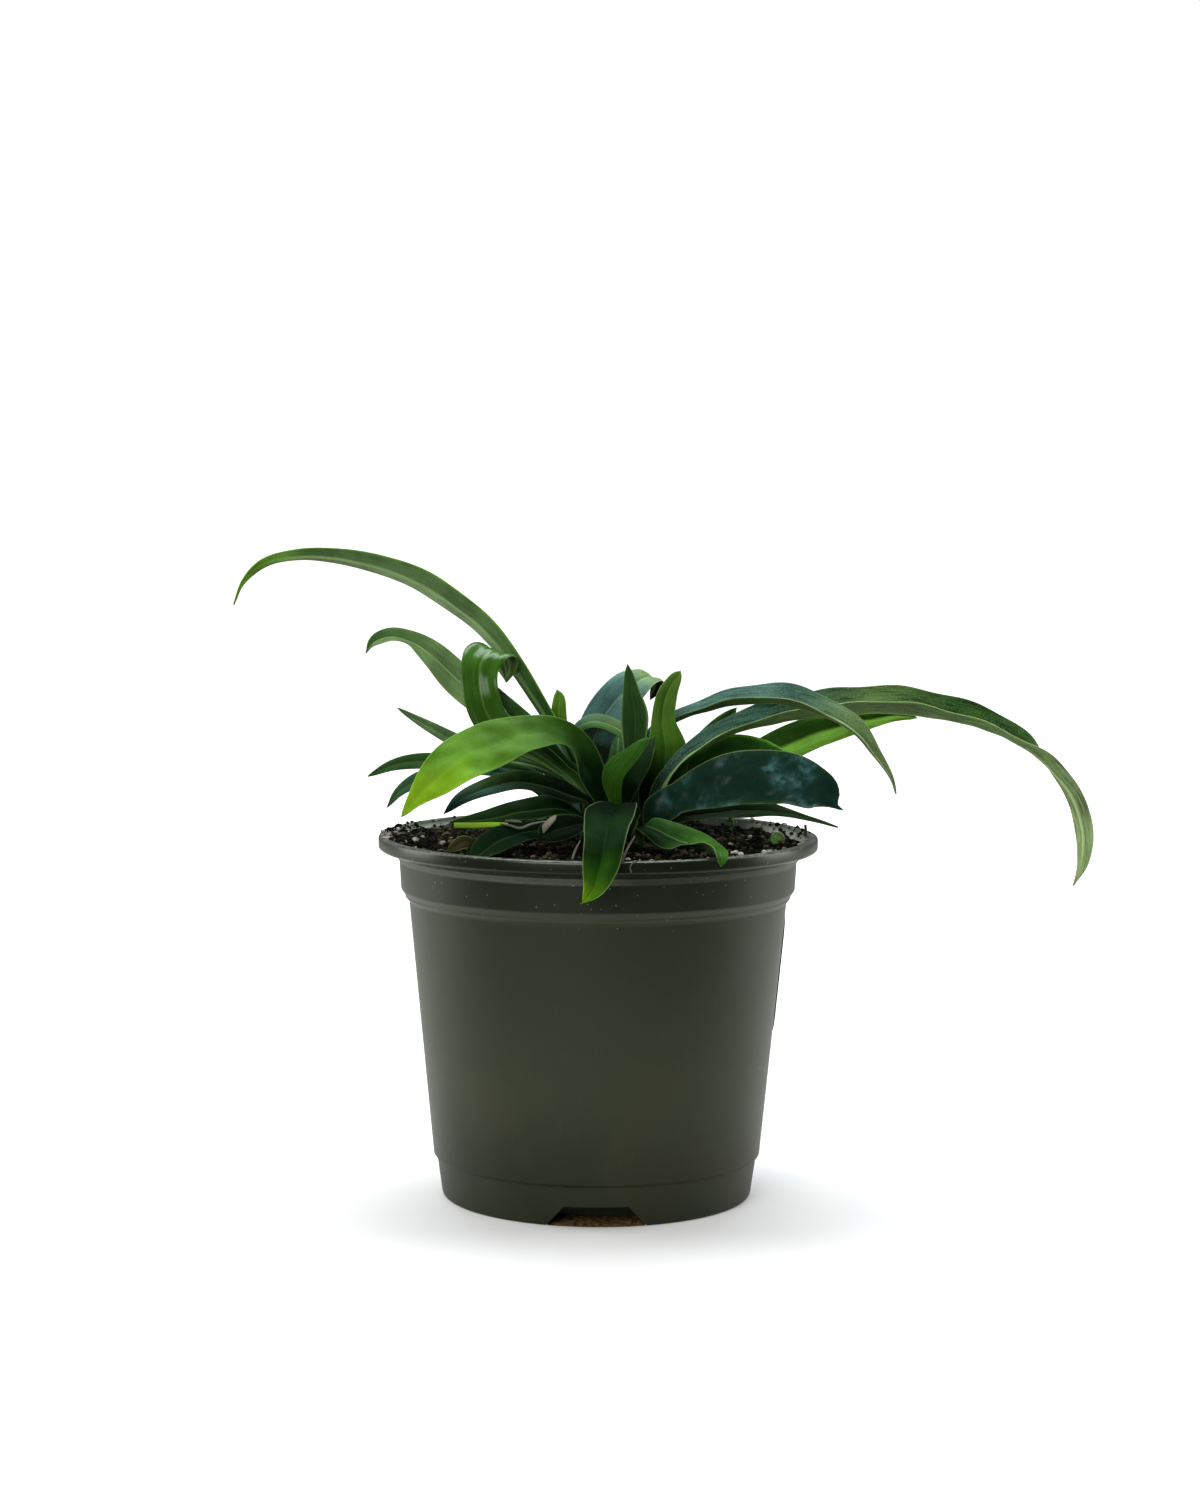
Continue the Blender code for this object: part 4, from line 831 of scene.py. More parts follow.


# every frond, close to its solid and refined; rows are x, y, z, half width, fold, upward face
# left and right are the tones of the halves, seen from the crown, from the foot (0) to the tip (1); the ink
# and deep tones near the foot are partly the fronds' own dark green and partly painted shade in the crowded
# crown, and tintAndShade scales a frond's tones partly for its own colour and partly as painted light and
# shade for how much light reaches it
fronds = {
    "frond_long_left": {
        "leaf": "green", "root": (-3, 6), "face": (1, 0.1, 0.3), "gloss": 0.35,
        "tintAndShade": (1.35, 1.32, 1.3), "left": "0 deep, 0.3 moss, 0.7 leaf, 0.9 spring, 1 lime",
        "under": "0 ink, 0.2 deep, 0.32 moss, 0.5 sage, 0.8 sage, 0.92 spring, 1 spring",
        "underRight": "0 ink, 0.2 deep, 0.35 moss, 0.5 ash, 0.8 ash, 0.92 spring, 1 lime",
        "rim": "spring", "neckHalf": 2.0, "line": 0.8, "frost": 0.1, "veins": 0.3, "wave": 0.08,
        "quilt": 0.08, "edge": 0.45,
        "rows": [
            (-4, 8.5, 99.5, 1.1, 30, 1, 0.2, 0.4), (-8, 10, 109, 1.7, 30, 0.6, 0.6, 0.4),
            (-13, 11, 117, 2.2, 28, 0.4, 0.8, 0.4), (-20.5, 12, 128.5, 2.9, 28, 0.3, 0.8, 0.5),
            (-28, 13, 138, 3.5, 28, 0.1, 0.8, 0.6), (-36, 14, 144.5, 3.8, 28, 0, 0.8, 0.6),
            (-44.5, 14, 150, 3.9, 28, 0, 0.8, 0.6), (-54.5, 14, 154, 3.4, 26, 0, 0.8, 0.6),
            (-64.5, 13, 156.3, 2.7, 24, 0, 0.8, 0.6), (-74.5, 12, 156.8, 2.2, 24, 0, 0.7, 0.7),
            (-83, 11, 155, 1.6, 20, 0, 0.7, 0.7), (-88, 10, 150.5, 1.1, 15, -0.6, 0.4, 0.5),
            (-90.5, 9, 145, 0.4, 10, -1, 0, 0.2),
        ],
    },
    "frond_hook_left": {
        "leaf": "green", "root": (0.5, 6), "face": (1, -0.1, 0.3), "gloss": 0.4,
        "tintAndShade": (1.7, 1.55, 1.6), "left": "0 ink, 0.3 deep, 0.45 moss, 0.65 sage, 1 sage",
        "right": "0 ink, 0.35 deep, 0.5 moss, 0.7 sage, 1 moss", "neckHalf": 2.2, "line": 0.8,
        "rows": [
            (-2.5, 6, 99, 1.1, 25, 0.9, -0.4, 0.3), (-9.5, 6, 106.5, 2.2, 20, 0.5, -0.8, 0.3),
            (-19.5, 6, 115.5, 3.8, 15, 0.2, -0.9, 0.3), (-27, 7, 120.5, 4.8, 15, 0.1, -0.9, 0.4),
            (-35, 8, 126.5, 4.6, 15, 0.1, -0.85, 0.5), (-41.5, 8, 132.5, 4.1, 15, 0.1, -0.7, 0.7),
            (-47, 8, 136, 3.4, 25, 0, -0.5, 0.85), (-51.5, 7, 137, 3.1, 25, -0.2, -0.55, 0.8),
            (-55.3, 6, 135.8, 2.2, 20, -0.6, -0.6, 0.5), (-57.5, 5, 133.5, 0.4, 15, -0.9, -0.3, 0.3),
        ],
    },
    "frond_curl_left": {
        "leaf": "green", "root": (-1, 2.5), "face": (0.8, -0.5, 0), "shade": "glossy", "gloss": 1.15,
        "tintAndShade": (1.3, 1.3, 0.85), "left": "0 deep, 0.3 moss, 0.7 leaf, 1 leaf",
        "under": "0 moss, 0.8 moss, 1 sage", "neckHalf": 2.2, "pleat": 0.35, "veins": 0.12,
        "rows": [
            (-4, 2, 99, 1.1, 30, 0.8, -0.6, 0.1), (-12, 1, 107, 2.6, 30, 0.5, -0.8, 0.2),
            (-22, 1, 113, 4, 25, 0.2, -0.95, 0.2), (-27, 1, 118, 4.6, 22, 0.1, -0.97, 0.1),
            (-29, 1, 123.5, 4.7, 22, 0.1, -0.97, 0), (-29.5, 2, 129, 4.8, 18, 0.1, -0.92, 0.2),
            (-28.5, 4, 132.2, 5.2, 12, 0.15, -0.6, 0.8), (-26, 7, 133.6, 5.2, 8, 0.3, -0.1, 1),
            (-24.2, 9.5, 132.4, 4.6, 5, 0.5, 0.5, 0.7), (-23.2, 10.5, 129.6, 3.2, 10, 0.5, 0.8, 0.2),
            (-23, 10.5, 126, 0.4, 10, 0.5, 0.8, 0),
        ],
    },
    "frond_slim_left_high": {
        "leaf": "green", "root": (-3.5, 9.5), "face": (0.8, -0.3, 0.3), "gloss": 0.3,
        "left": "0 deep, 0.3 deep, 0.5 sage, 1 sage",
        "rows": [
            (-5, 10.5, 98, 0.9, 15, 0.6, -0.5, 0.4), (-13.5, 11.5, 104, 1.2, 20, 0.2, -0.7, 0.6),
            (-24.5, 12, 107, 2.1, 20, 0, -0.7, 0.7), (-36, 12, 111, 2.3, 20, 0, -0.7, 0.7),
            (-44, 11, 115.5, 1.6, 20, 0.2, -0.7, 0.7), (-50, 10, 119.5, 0.35, 10, 0.3, -0.7, 0.7),
        ],
    },
    "frond_slim_left_mid": {
        "leaf": "green", "root": (-6.5, 6.5), "face": (0.8, -0.3, 0.3), "gloss": 0.35,
        "left": "0 deep, 0.4 moss, 1 moss",
        "rows": [
            (-8, 6.5, 96.5, 1, 15, 0.5, -0.5, 0.5), (-17, 6, 103.6, 1.6, 15, 0.1, -0.7, 0.7),
            (-32, 5, 105.5, 2.4, 15, 0, -0.7, 0.7), (-43, 4, 106.5, 2.6, 15, 0, -0.7, 0.7),
            (-51, 4, 105.5, 1.8, 15, -0.1, -0.7, 0.7), (-57, 4, 103, 0.35, 10, -0.3, -0.7, 0.6),
        ],
    },
    "frond_slim_left_low": {
        "leaf": "blue", "root": (-7.5, 3), "face": (0.8, -0.3, 0.3), "gloss": 0.35,
        "left": "0 deep, 0.4 slate, 1 moss",
        "rows": [
            (-10.5, 3, 95.5, 1, 15, 0.4, -0.5, 0.6), (-20.5, 1, 103, 1.5, 15, 0.1, -0.7, 0.7),
            (-33.5, -2, 105.2, 2.0, 15, 0, -0.7, 0.7), (-43.5, -5, 103, 2.4, 15, -0.2, -0.7, 0.6),
            (-48.5, -6, 100, 1.6, 15, -0.5, -0.7, 0.5), (-51.5, -7, 96.5, 0.35, 10, -0.7, -0.7, 0.3),
        ],
    },
    "frond_broad_bright_left": {
        "leaf": "bright", "root": (2.5, -1.5), "face": (0.8, -0.5, 0.1), "gloss": 0.6,
        "left": "0 ink, 0.3 deep, 0.42 leaf, 0.62 fern, 0.74 spring, 0.88 lime, 1 lime",
        "right": "0 ink, 0.3 deep, 0.42 leaf, 0.65 fern, 0.8 spring, 0.92 lime, 1 lime", "dome": True,
        "line": 0.0, "quilt": 0.25, "veins": 0.06, "edge": 0.6,
        "rows": [
            (0, -4, 98.5, 2.8, 30, 0.6, -0.8, 0.1), (-2.5, -7, 104.5, 4.4, 30, 0.55, -0.8, 0.2),
            (-5.5, -10, 110.5, 5.2, 28, 0.5, -0.7, 0.45), (-10.5, -14, 114.5, 5.2, 25, 0.2, -0.6, 0.8),
            (-17.5, -18, 115.1, 6.3, 12, 0, -0.65, 0.75), (-24.5, -22, 113.2, 7.3, 8, -0.1, -0.7, 0.7),
            (-32.5, -26, 109.8, 7.1, 8, -0.2, -0.75, 0.6), (-38.5, -29, 105.1, 5.3, 10, -0.3, -0.8, 0.5),
            (-43.5, -31, 100.5, 2.2, 12, -0.4, -0.8, 0.4), (-46.5, -32, 97, 0.4, 10, -0.5, -0.8, 0.3),
        ],
    },
    "frond_arch_low_left": {
        "leaf": "blue", "root": (-2, -1.5), "face": (0.8, -0.3, 0.3), "shade": "matt",
        "tintAndShade": (0.9, 0.9, 0.75), "left": "0 ink, 0.5 ink, 0.65 deep, 0.78 slate, 0.92 petrol, 1 petrol",
        "right": "0 ink, 0.5 ink, 0.62 deep, 0.75 sage, 0.9 slate, 1 petrol", "under": "0 ink, 1 deep",
        "neckHalf": 2.4, "frost": 0.03,
        "rows": [
            (-2.5, -5, 97, 1.2, 25, 0.5, -0.5, 0.6), (-7.5, -8, 99.6, 3.4, 22, 0.3, -0.6, 0.7),
            (-13, -11, 101.9, 3.8, 20, 0.1, -0.65, 0.75), (-20, -14, 103.4, 3.1, 18, 0, -0.7, 0.7),
            (-27, -17, 102.1, 2.8, 18, -0.1, -0.7, 0.7), (-33, -19, 99.6, 2, 18, -0.4, -0.7, 0.5),
            (-37, -20, 96.5, 0.4, 10, -0.6, -0.7, 0.3),
        ],
    },
    "frond_flat_left": {
        "leaf": "dark", "root": (-4, -5), "face": (1, 0.3, 0.2), "shade": "matt", "gloss": 0.4,
        "tintAndShade": (0.5, 0.6, 0.45), "left": "0 ink, 0.4 deep, 1 moss", "rim": "moss", "neckHalf": 2.2,
        "rows": [
            (-3.5, -7.5, 93.4, 1.8, 20, 0.6, 0, 0.8), (-9.5, -10.5, 96.4, 3.6, 18, 0.2, -0.5, 0.85),
            (-18, -12.5, 96, 4.4, 15, 0, -0.5, 0.85), (-26, -16.5, 94.6, 3.2, 15, 0, -0.5, 0.85),
            (-31.3, -19.2, 94.3, 2.0, 15, 0, -0.5, 0.85), (-35.6, -20.6, 94.4, 0.4, 10, -0.2, -0.5, 0.8),
        ],
    },
    "frond_droop_front_left": {
        "leaf": "dark", "root": (-1, -8), "face": (0.7, 0.7, 0.2), "shade": "matt", "gloss": 0.35,
        "tintAndShade": (0.7, 0.75, 0.55), "left": "0 ink, 0.4 petrol, 1 deep", "line": 0.2,
        "rows": [
            (-2.5, -12, 91.5, 1.4, 20, 0.4, 0.2, 0.9), (-8.5, -16, 92.5, 2.8, 18, 0.1, -0.5, 0.85),
            (-16.5, -20, 92, 3.4, 15, -0.1, -0.65, 0.75), (-22.3, -25.5, 91, 4.3, 12, -0.2, -0.75, 0.65),
            (-26.6, -31, 88.9, 3.6, 12, -0.3, -0.8, 0.5), (-28.6, -34.5, 87.2, 2.2, 10, -0.4, -0.8, 0.4),
        ],
    },
    "frond_torn_front_left": {
        "leaf": "dark", "root": (1.5, -11.5), "face": (0.5, 0.8, 0.2), "shade": "matt", "gloss": 0.3,
        "tintAndShade": (0.4, 0.4, 0.35), "left": "0 ink, 0.6 ink, 1 deep", "rim": "deep", "line": 0.1,
        "edge": 0.3,
        "rows": [
            (-1.5, -15, 93, 1.8, 20, 0.3, 0.1, 0.95), (-5, -19, 93.8, 3.4, 12, 0, -0.6, 0.8),
            (-9.3, -23, 93, 3.8, 10, -0.2, -0.8, 0.5), (-12.8, -26, 91.8, 2.6, 10, -0.3, -0.85, 0.4),
            (-14.3, -27, 91.2, 0.6, 10, -0.3, -0.85, 0.4),
        ],
    },
    "frond_young_back_left": {
        "leaf": "bright", "root": (0.5, 12), "face": (0.3, -0.9, 0), "tintAndShade": (1.35, 1.25, 1.5),
        "left": "0 deep, 0.3 grass, 1 spring",
        "rows": [
            (-1.5, 13, 96.5, 0.9, 15, 0.3, -0.9, 0.1), (-5, 14, 104, 1.2, 20, 0.3, -0.9, 0.1),
            (-9, 14.5, 112, 1.7, 20, 0.2, -0.95, 0.1), (-10, 14.5, 117.5, 2, 18, 0, -1, 0),
            (-10, 14.5, 122, 1.5, 15, 0, -1, 0), (-10.5, 14.5, 124, 0.7, 10, 0, -1, 0),
        ],
    },
    "frond_blue_back": {
        "leaf": "blue", "root": (4, 12.5), "face": (0, -1, 0), "gloss": 0.4, "tintAndShade": (2.2, 1.9, 2.0),
        "left": "0 ink, 0.46 ink, 0.56 slate, 0.74 slate, 0.84 sage, 1 sage", "under": "0 deep, 1 deep",
        "neckHalf": 4.0, "frost": 0.1, "edge": 0.45,
        "rows": [
            (1.5, 14, 96.5, 1.2, 20, 0, -1, 0.1), (-1.8, 16, 105, 4.4, 20, 0, -1, 0.1),
            (-0.9, 17, 112.5, 5.0, 18, 0.1, -1, 0.2), (2.4, 18, 118.5, 5.2, 15, 0.1, -0.95, 0.3),
            (7.0, 19, 123.5, 5.0, 15, 0.1, -0.8, 0.6), (11, 22, 126, 4.2, 12, 0.2, -0.3, 0.9),
            (13.5, 26, 126, 3.2, 12, 0.6, 0.4, 0.6), (14.5, 28, 124, 2, 10, 0.6, 0.7, 0.2),
            (13, 28, 120.5, 0.4, 10, 0.3, 0.9, -0.2),
        ],
    },
    "frond_blue_arch": {
        "leaf": "blue", "root": (4.5, 8.8), "face": (0.5, -0.7, 0), "tintAndShade": (1.5, 1.35, 1.45),
        "left": "0 ink, 0.4 ink, 0.55 moss, 1 moss",
        "right": "0 ink, 0.4 ink, 0.55 slate, 0.75 sage, 1 slate", "neckHalf": 2.0, "line": 0.9,
        "rows": [
            (6, 10, 98, 1, 20, 0.5, -0.8, 0.2), (8, 11, 106.5, 1.6, 20, 0.4, -0.8, 0.3),
            (7, 12, 112, 2.2, 20, 0.2, -0.7, 0.6), (3, 12, 115, 2.4, 18, 0, -0.7, 0.7),
            (-1.5, 12, 116, 2.3, 18, -0.1, -0.7, 0.7), (-5, 12.5, 114.5, 1.6, 15, -0.3, -0.7, 0.6),
            (-7, 12.5, 112.5, 0.4, 10, -0.4, -0.7, 0.5),
        ],
    },
    "frond_upright_dark": {
        "leaf": "dark", "root": (7.5, 4.5), "face": (-0.1, -1, 0), "gloss": 0.4, "tintAndShade": (1.6, 1.4, 1.5),
        "left": "0 ink, 0.4 deep, 1 moss", "rim": "sage", "neckHalf": 3.0, "line": 0.12, "edge": 0.1,
        "rows": [
            (9, 5, 97.5, 1.8, 25, -0.1, -1, 0.05), (9.5, 6, 104.5, 2.7, 25, -0.15, -1, 0.05),
            (9, 6, 112, 3.2, 22, -0.2, -1, 0.05), (9, 6, 118.5, 3.6, 18, -0.2, -1, 0.05),
            (8, 6, 124.5, 2.2, 18, -0.2, -1, 0.05), (7, 6, 131, 0.4, 10, -0.2, -1, 0.05),
        ],
    },
    "frond_upright_bright": {
        "leaf": "bright", "root": (12, 3), "face": (0.2, -1, 0), "tintAndShade": (1.25, 1.12, 2.0),
        "left": "0 ink, 0.4 deep, 0.6 grass, 1 spring", "neckHalf": 3.6, "line": 0.2,
        "rows": [
            (14, 3, 97.5, 4.6, 12, 0.2, -1, 0.1), (15.8, 2.5, 104, 5.8, 12, 0.2, -1, 0.1),
            (16.5, 2, 110, 5.4, 16, 0.2, -1, 0.1), (15.5, 2, 117.5, 3.4, 28, 0.2, -1, 0.1),
            (16.5, 2, 123.5, 2.8, 25, 0.2, -1, 0.1), (18.5, 2, 127.5, 1.8, 20, 0.2, -1, 0.1),
            (20, 2, 129.7, 1, 15, 0.2, -1, 0.1),
        ],
    },
    "frond_short_front": {
        "leaf": "bright", "root": (7.5, -4.5), "face": (-0.3, -0.9, 0), "tintAndShade": (1.0, 1.1, 0.75),
        "left": "0 ink, 0.3 deep, 0.55 leaf, 0.85 leaf, 1 moss", "right": "0 ink, 0.6 ink, 1 deep",
        "neckHalf": 2.8, "line": 0.15,
        "rows": [
            (6, -8, 96, 1.4, 20, -0.3, -0.95, 0.2), (5.5, -10, 100, 3.4, 15, -0.3, -0.9, 0.2),
            (6.0, -11, 104.5, 5.4, 12, -0.3, -0.9, 0.3), (9, -11, 108.5, 4.2, 12, -0.2, -0.9, 0.4),
            (11.5, -9, 112, 2.4, 12, -0.2, -0.9, 0.4), (13.5, -7, 114, 0.4, 8, -0.1, -0.9, 0.4),
        ],
    },
    "frond_over_rim": {
        "leaf": "green", "root": (5.5, -9.5), "face": (0, 1, 0.2), "shade": "matt", "gloss": 0.4,
        "tintAndShade": (0.85, 0.95, 0.7),
        "left": "0 ink, 0.5 ink, 0.7 deep, 0.8 deep, 0.89 leaf, 0.96 spring, 1 lime",
        "right": "0 ink, 0.5 ink, 0.7 deep, 0.84 deep, 0.92 leaf, 1 lime", "neckHalf": 2.8, "veins": 0.2,
        "line": 0.0, "edge": 1.0, "frost": 0.012, "rib": 0.0,
        "rows": [
            (6.5, -13, 93.5, 1.4, 25, 0, 0.7, 0.7), (5.5, -19, 97.5, 3, 20, 0, 0.2, 1),
            (4.5, -26, 99, 4.8, 15, -0.05, -0.3, 0.95), (3.2, -34, 98.5, 6.0, 10, -0.1, -0.6, 0.8),
            (2.2, -46, 96.5, 5.6, 10, -0.1, -0.85, 0.6), (1.5, -54, 93.5, 4.8, 10, -0.1, -0.97, 0.3),
            (0.5, -58, 88.5, 4.2, 10, -0.1, -1, 0.1), (-1, -59, 84, 2.6, 10, -0.1, -1, 0),
            (-3.5, -59, 80.5, 0.4, 10, -0.1, -1, 0),
        ],
    },
    "frond_arch_right": {
        "leaf": "blue", "root": (10.5, 8), "face": (-0.4, -0.8, 0.2), "tintAndShade": (1.5, 1.3, 1.25),
        "left": "0 deep, 0.15 deep, 0.3 slate, 0.66 slate, 0.82 sage, 1 sage",
        "right": "0 deep, 0.12 deep, 0.25 slate, 0.55 slate, 0.7 ash, 0.85 ash, 1 sage", "line": 0.8,
        "frost": 0.25, "crease": 0.5, "veins": 0.55, "edge": 0.45,
        "rows": [
            (11, 8.5, 98.5, 1.1, 25, -0.5, -0.8, 0.2), (10.5, 9.5, 105.5, 1.6, 30, -0.4, -0.6, 0.5),
            (13.5, 8.5, 113, 2.2, 30, -0.2, -0.5, 0.8), (19, 7, 117, 2.8, 34, 0, -0.4, 0.9),
            (26, 5, 119.5, 3.6, 38, 0, -0.36, 0.93), (34.5, 2, 121.5, 4.8, 40, 0, -0.36, 0.93),
            (44.5, -1, 122, 5.6, 40, 0, -0.36, 0.93), (54, -3, 119.5, 5, 38, 0.1, -0.4, 0.9),
            (62, -5, 115.5, 4, 32, 0.3, -0.4, 0.8), (67.5, -6, 109.5, 2.4, 25, 0.6, -0.4, 0.6),
            (71, -7, 104.5, 1.2, 20, 0.8, -0.4, 0.4), (72.5, -7, 100.5, 0.4, 10, 0.9, -0.4, 0.2),
        ],
    },
    "frond_long_right": {
        "leaf": "blue", "root": (15, 0), "face": (-0.5, -0.8, 0.2), "gloss": 0.45,
        "tintAndShade": (1.45, 1.35, 1.2),
        "left": "0 deep, 0.1 deep, 0.2 slate, 0.36 slate, 0.5 sage, 0.62 moss, 0.8 moss, 1 sage",
        "right": "0 deep, 0.08 moss, 0.2 ash, 0.75 ash, 1 sage",
        "under": "0 deep, 0.12 moss, 0.25 sage, 0.68 sage, 0.85 ash, 1 ash", "neckHalf": 2.4,
        "line": 0.8, "frost": 0.25, "crease": 0.5, "veins": 0.7, "edge": 0.45,
        "rows": [
            (15, -1.5, 99.5, 1.5, 30, -0.5, -0.8, 0.3), (19, -2, 106, 2.6, 40, -0.4, -0.6, 0.7),
            (25.5, -1, 111, 3.4, 44, -0.2, -0.5, 0.9), (35, 2, 115, 4.8, 46, -0.1, -0.4, 0.9),
            (47.5, 6, 117.5, 6, 48, 0, -0.38, 0.93), (60, 9, 118.5, 6.9, 50, 0, -0.38, 0.93),
            (72.5, 11, 119, 6.9, 50, 0, -0.38, 0.93), (85, 12, 117.5, 6.4, 48, 0.1, -0.4, 0.9),
            (96, 12, 115, 5.4, 44, 0.2, -0.4, 0.85), (105, 12, 111, 4.4, 38, 0.4, -0.3, 0.8),
            (113, 12, 104.5, 3.4, 30, 0.62, 0.45, 0.5), (118.3, 11, 97.5, 2.9, 25, 0.6, 0.75, 0.25),
            (120.9, 10, 89, 2.6, 20, 0.55, 0.85, 0), (120.6, 9, 82, 1.7, 15, 0.6, 0.8, -0.1),
            (118.5, 9, 76, 0.4, 10, 1, 0.2, -0.3),
        ],
    },
    "frond_bright_right": {
        "leaf": "bright", "root": (16, 8.5), "face": (-0.4, -0.8, 0.3), "tintAndShade": (1.3, 1.25, 1.3),
        "left": "0 ink, 0.3 deep, 0.6 leaf, 1 grass", "right": "0 deep, 0.3 leaf, 0.6 spring, 1 spring",
        "frost": 0.03,
        "rows": [
            (15.5, 9, 95.5, 1.2, 20, -0.4, -0.8, 0.4), (25.5, 11, 103, 2.2, 20, -0.2, -0.9, 0.4),
            (38, 13, 107, 3.8, 18, -0.1, -0.9, 0.5), (46.5, 15, 110, 4.8, 15, -0.1, -0.9, 0.5),
            (55.5, 17, 113.5, 4.5, 15, -0.1, -0.9, 0.5), (65.5, 18, 116, 3.2, 15, -0.1, -0.9, 0.5),
            (74, 19, 117.5, 1.8, 15, 0, -0.9, 0.5), (80, 19, 117, 0.4, 10, 0, -0.9, 0.5),
        ],
    },
    "frond_tip_back_right": {
        "leaf": "green", "root": (13.5, 11.5), "face": (-0.3, -0.8, 0.3), "left": "0 deep, 1 leaf",
        "rows": [
            (14, 14, 96.5, 0.9, 15, -0.3, -0.8, 0.4), (20.5, 15, 105, 1.2, 15, -0.3, -0.8, 0.4),
            (26.5, 16, 112, 1.8, 18, -0.3, -0.9, 0.4), (31.5, 17, 116, 2.1, 15, -0.3, -0.9, 0.4),
            (34.5, 17, 119.5, 0.5, 10, -0.3, -0.9, 0.3),
        ],
    },
    "frond_green_right": {
        "leaf": "green", "root": (18, 5), "face": (-0.4, -0.8, 0.3), "gloss": 0.45,
        "tintAndShade": (3.2, 3.0, 2.0), "left": "0 ink, 0.4 deep, 1 deep", "rim": "leaf", "neckHalf": 3.2,
        "rows": [
            (17.5, 5.5, 96, 2, 20, -0.3, -0.85, 0.4), (22.5, 6, 103.5, 4.2, 15, -0.2, -0.9, 0.4),
            (31.5, 7, 107.5, 5.8, 12, -0.1, -0.9, 0.45), (40, 8, 107, 5.6, 10, 0, -0.9, 0.45),
            (47, 9, 104, 3.4, 10, 0.2, -0.9, 0.3), (51, 9, 99.5, 0.4, 10, 0.3, -0.9, 0.2),
        ],
    },
    "frond_broad_dark_right": {
        "leaf": "dark", "root": (13, -4), "face": (-0.3, -0.8, 0.4), "shade": "waxy", "gloss": 1.15,
        "tintAndShade": (3.2, 1.85, 1.5), "left": "0 ink, 0.3 petrol, 1 petrol", "rim": "deep", "neckHalf": 4.2,
        "dome": True, "crease": 0.0, "rib": 0.0, "line": 0.0, "frost": 0.0, "quilt": 0.16,
        "quiltWaves": (7.0, 2.5), "bulge": 0.02, "edge": 0.5, "veins": 0.0, "folded": 0.0, "flare": 0.6,
        "rows": [
            (14, -6, 95, 2.6, 15, -0.2, -0.9, 0.4), (20, -8, 99.5, 4.2, 5, -0.1, -0.92, 0.4),
            (27.5, -11, 103, 6.2, -8, -0.1, -0.92, 0.4), (36.5, -14, 105, 7.2, -12, 0, -0.9, 0.45),
            (45.5, -17, 105, 6.8, -14, 0.1, -0.9, 0.4), (50.8, -19, 103.2, 6.1, -14, 0.2, -0.9, 0.4),
            (54.0, -20, 101.8, 4.8, -10, 0.3, -0.9, 0.3), (55.6, -20.5, 100.4, 3.1, -5, 0.3, -0.9, 0.3),
            (56.8, -21, 99.0, 0.8, 0, 0.3, -0.9, 0.3), (58.6, -21.3, 98.0, 0.4, 0, 0.3, -0.9, 0.3),
        ],
    },
    "frond_thin_right": {
        "leaf": "dark", "root": (17, -3.5), "face": (-0.3, -0.4, 0.9), "gloss": 0.4,
        "left": "0 ink, 0.5 deep, 1 moss",
        "rows": [
            (18, -3, 92.5, 1.3, 18, -0.1, -0.4, 0.9), (26, -3, 94.5, 3.8, 15, 0, -0.4, 0.9),
            (36, -3, 95.5, 4.4, 15, 0, -0.4, 0.9), (44.5, -3, 95, 3, 15, 0.1, -0.35, 0.9),
            (52, -2, 93.5, 1.4, 12, 0.2, -0.3, 0.9), (59, -1, 91.5, 0.4, 8, 0.2, -0.3, 0.9),
        ],
    },
    "frond_curl_front_right": {
        "leaf": "green", "root": (10, -9), "face": (-0.5, 0.8, 0.2), "shade": "matt", "gloss": 0.8,
        "left": "0 deep, 0.3 moss, 0.7 leaf, 1 leaf", "right": "0 ink, 0.4 deep, 0.8 moss, 1 leaf",
        "neckHalf": 2.2, "edge": 0.45, "wave": 0.08,
        "rows": [
            (10.5, -11.5, 91, 1.6, 20, -0.3, 0.3, 0.8), (11.6, -15.5, 93.2, 2.6, 14, -0.1, -0.6, 0.75),
            (17.1, -22, 91.4, 4.1, 10, 0.05, -0.85, 0.5), (21.8, -30.5, 90.5, 4.9, 10, 0.15, -0.78, 0.6),
            (25, -39, 90.6, 4.2, 14, 0.3, -0.72, 0.62), (27.2, -45.5, 91, 2.9, 20, 0.45, -0.8, 0.4),
            (28.2, -49, 90, 1.9, 26, 0.5, -0.85, 0.2), (28.4, -50.4, 88, 1.0, 26, 0.4, -0.9, 0),
        ],
    },
    "sprout_front_left": {
        "leaf": "bright", "root": (-30.5, -26), "face": (0.2, -0.7, 0.7), "gloss": 0.4,
        "left": "0 bark, 1 bark", "under": "0 bark, 1 bark", "rim": "spring",
        "rows": [
            (-30, -27, 90, 1.2, 12, 0.1, -0.8, 0.6), (-32, -28, 90.5, 1.8, 12, 0, -0.85, 0.5),
            (-34, -29, 89.5, 1.4, 12, -0.1, -0.85, 0.5), (-36, -30, 88, 0.4, 8, -0.2, -0.85, 0.5),
        ],
    },
    "frond_back_far_left": {
        "leaf": "green", "root": (-7, 10.8), "face": (0, -1, 0.2), "gloss": 0.4,
        "left": "0 deep, 0.4 moss, 1 leaf",
        "rows": [
            (-12, 17, 96, 1.6, 20, 0.3, -0.6, 0.7), (-20, 26, 104, 3.6, 18, 0.2, -0.3, 0.9),
            (-29, 36, 106, 4.2, 15, -0.1, 0.1, 1), (-36, 45, 103, 3, 15, -0.3, 0.4, 0.9),
            (-41, 53, 97, 0.4, 10, -0.5, 0.6, 0.7),
        ],
    },
    "frond_back_left": {
        "leaf": "dark", "root": (-2.5, 14.5), "face": (0.2, -1, 0.2), "gloss": 0.4,
        "left": "0 deep, 0.4 slate, 1 moss", "neckHalf": 3.0,
        "rows": [
            (-6, 21, 98, 1.6, 20, 0.1, -0.8, 0.6), (-11, 31, 107, 3.8, 18, 0.1, -0.4, 0.9),
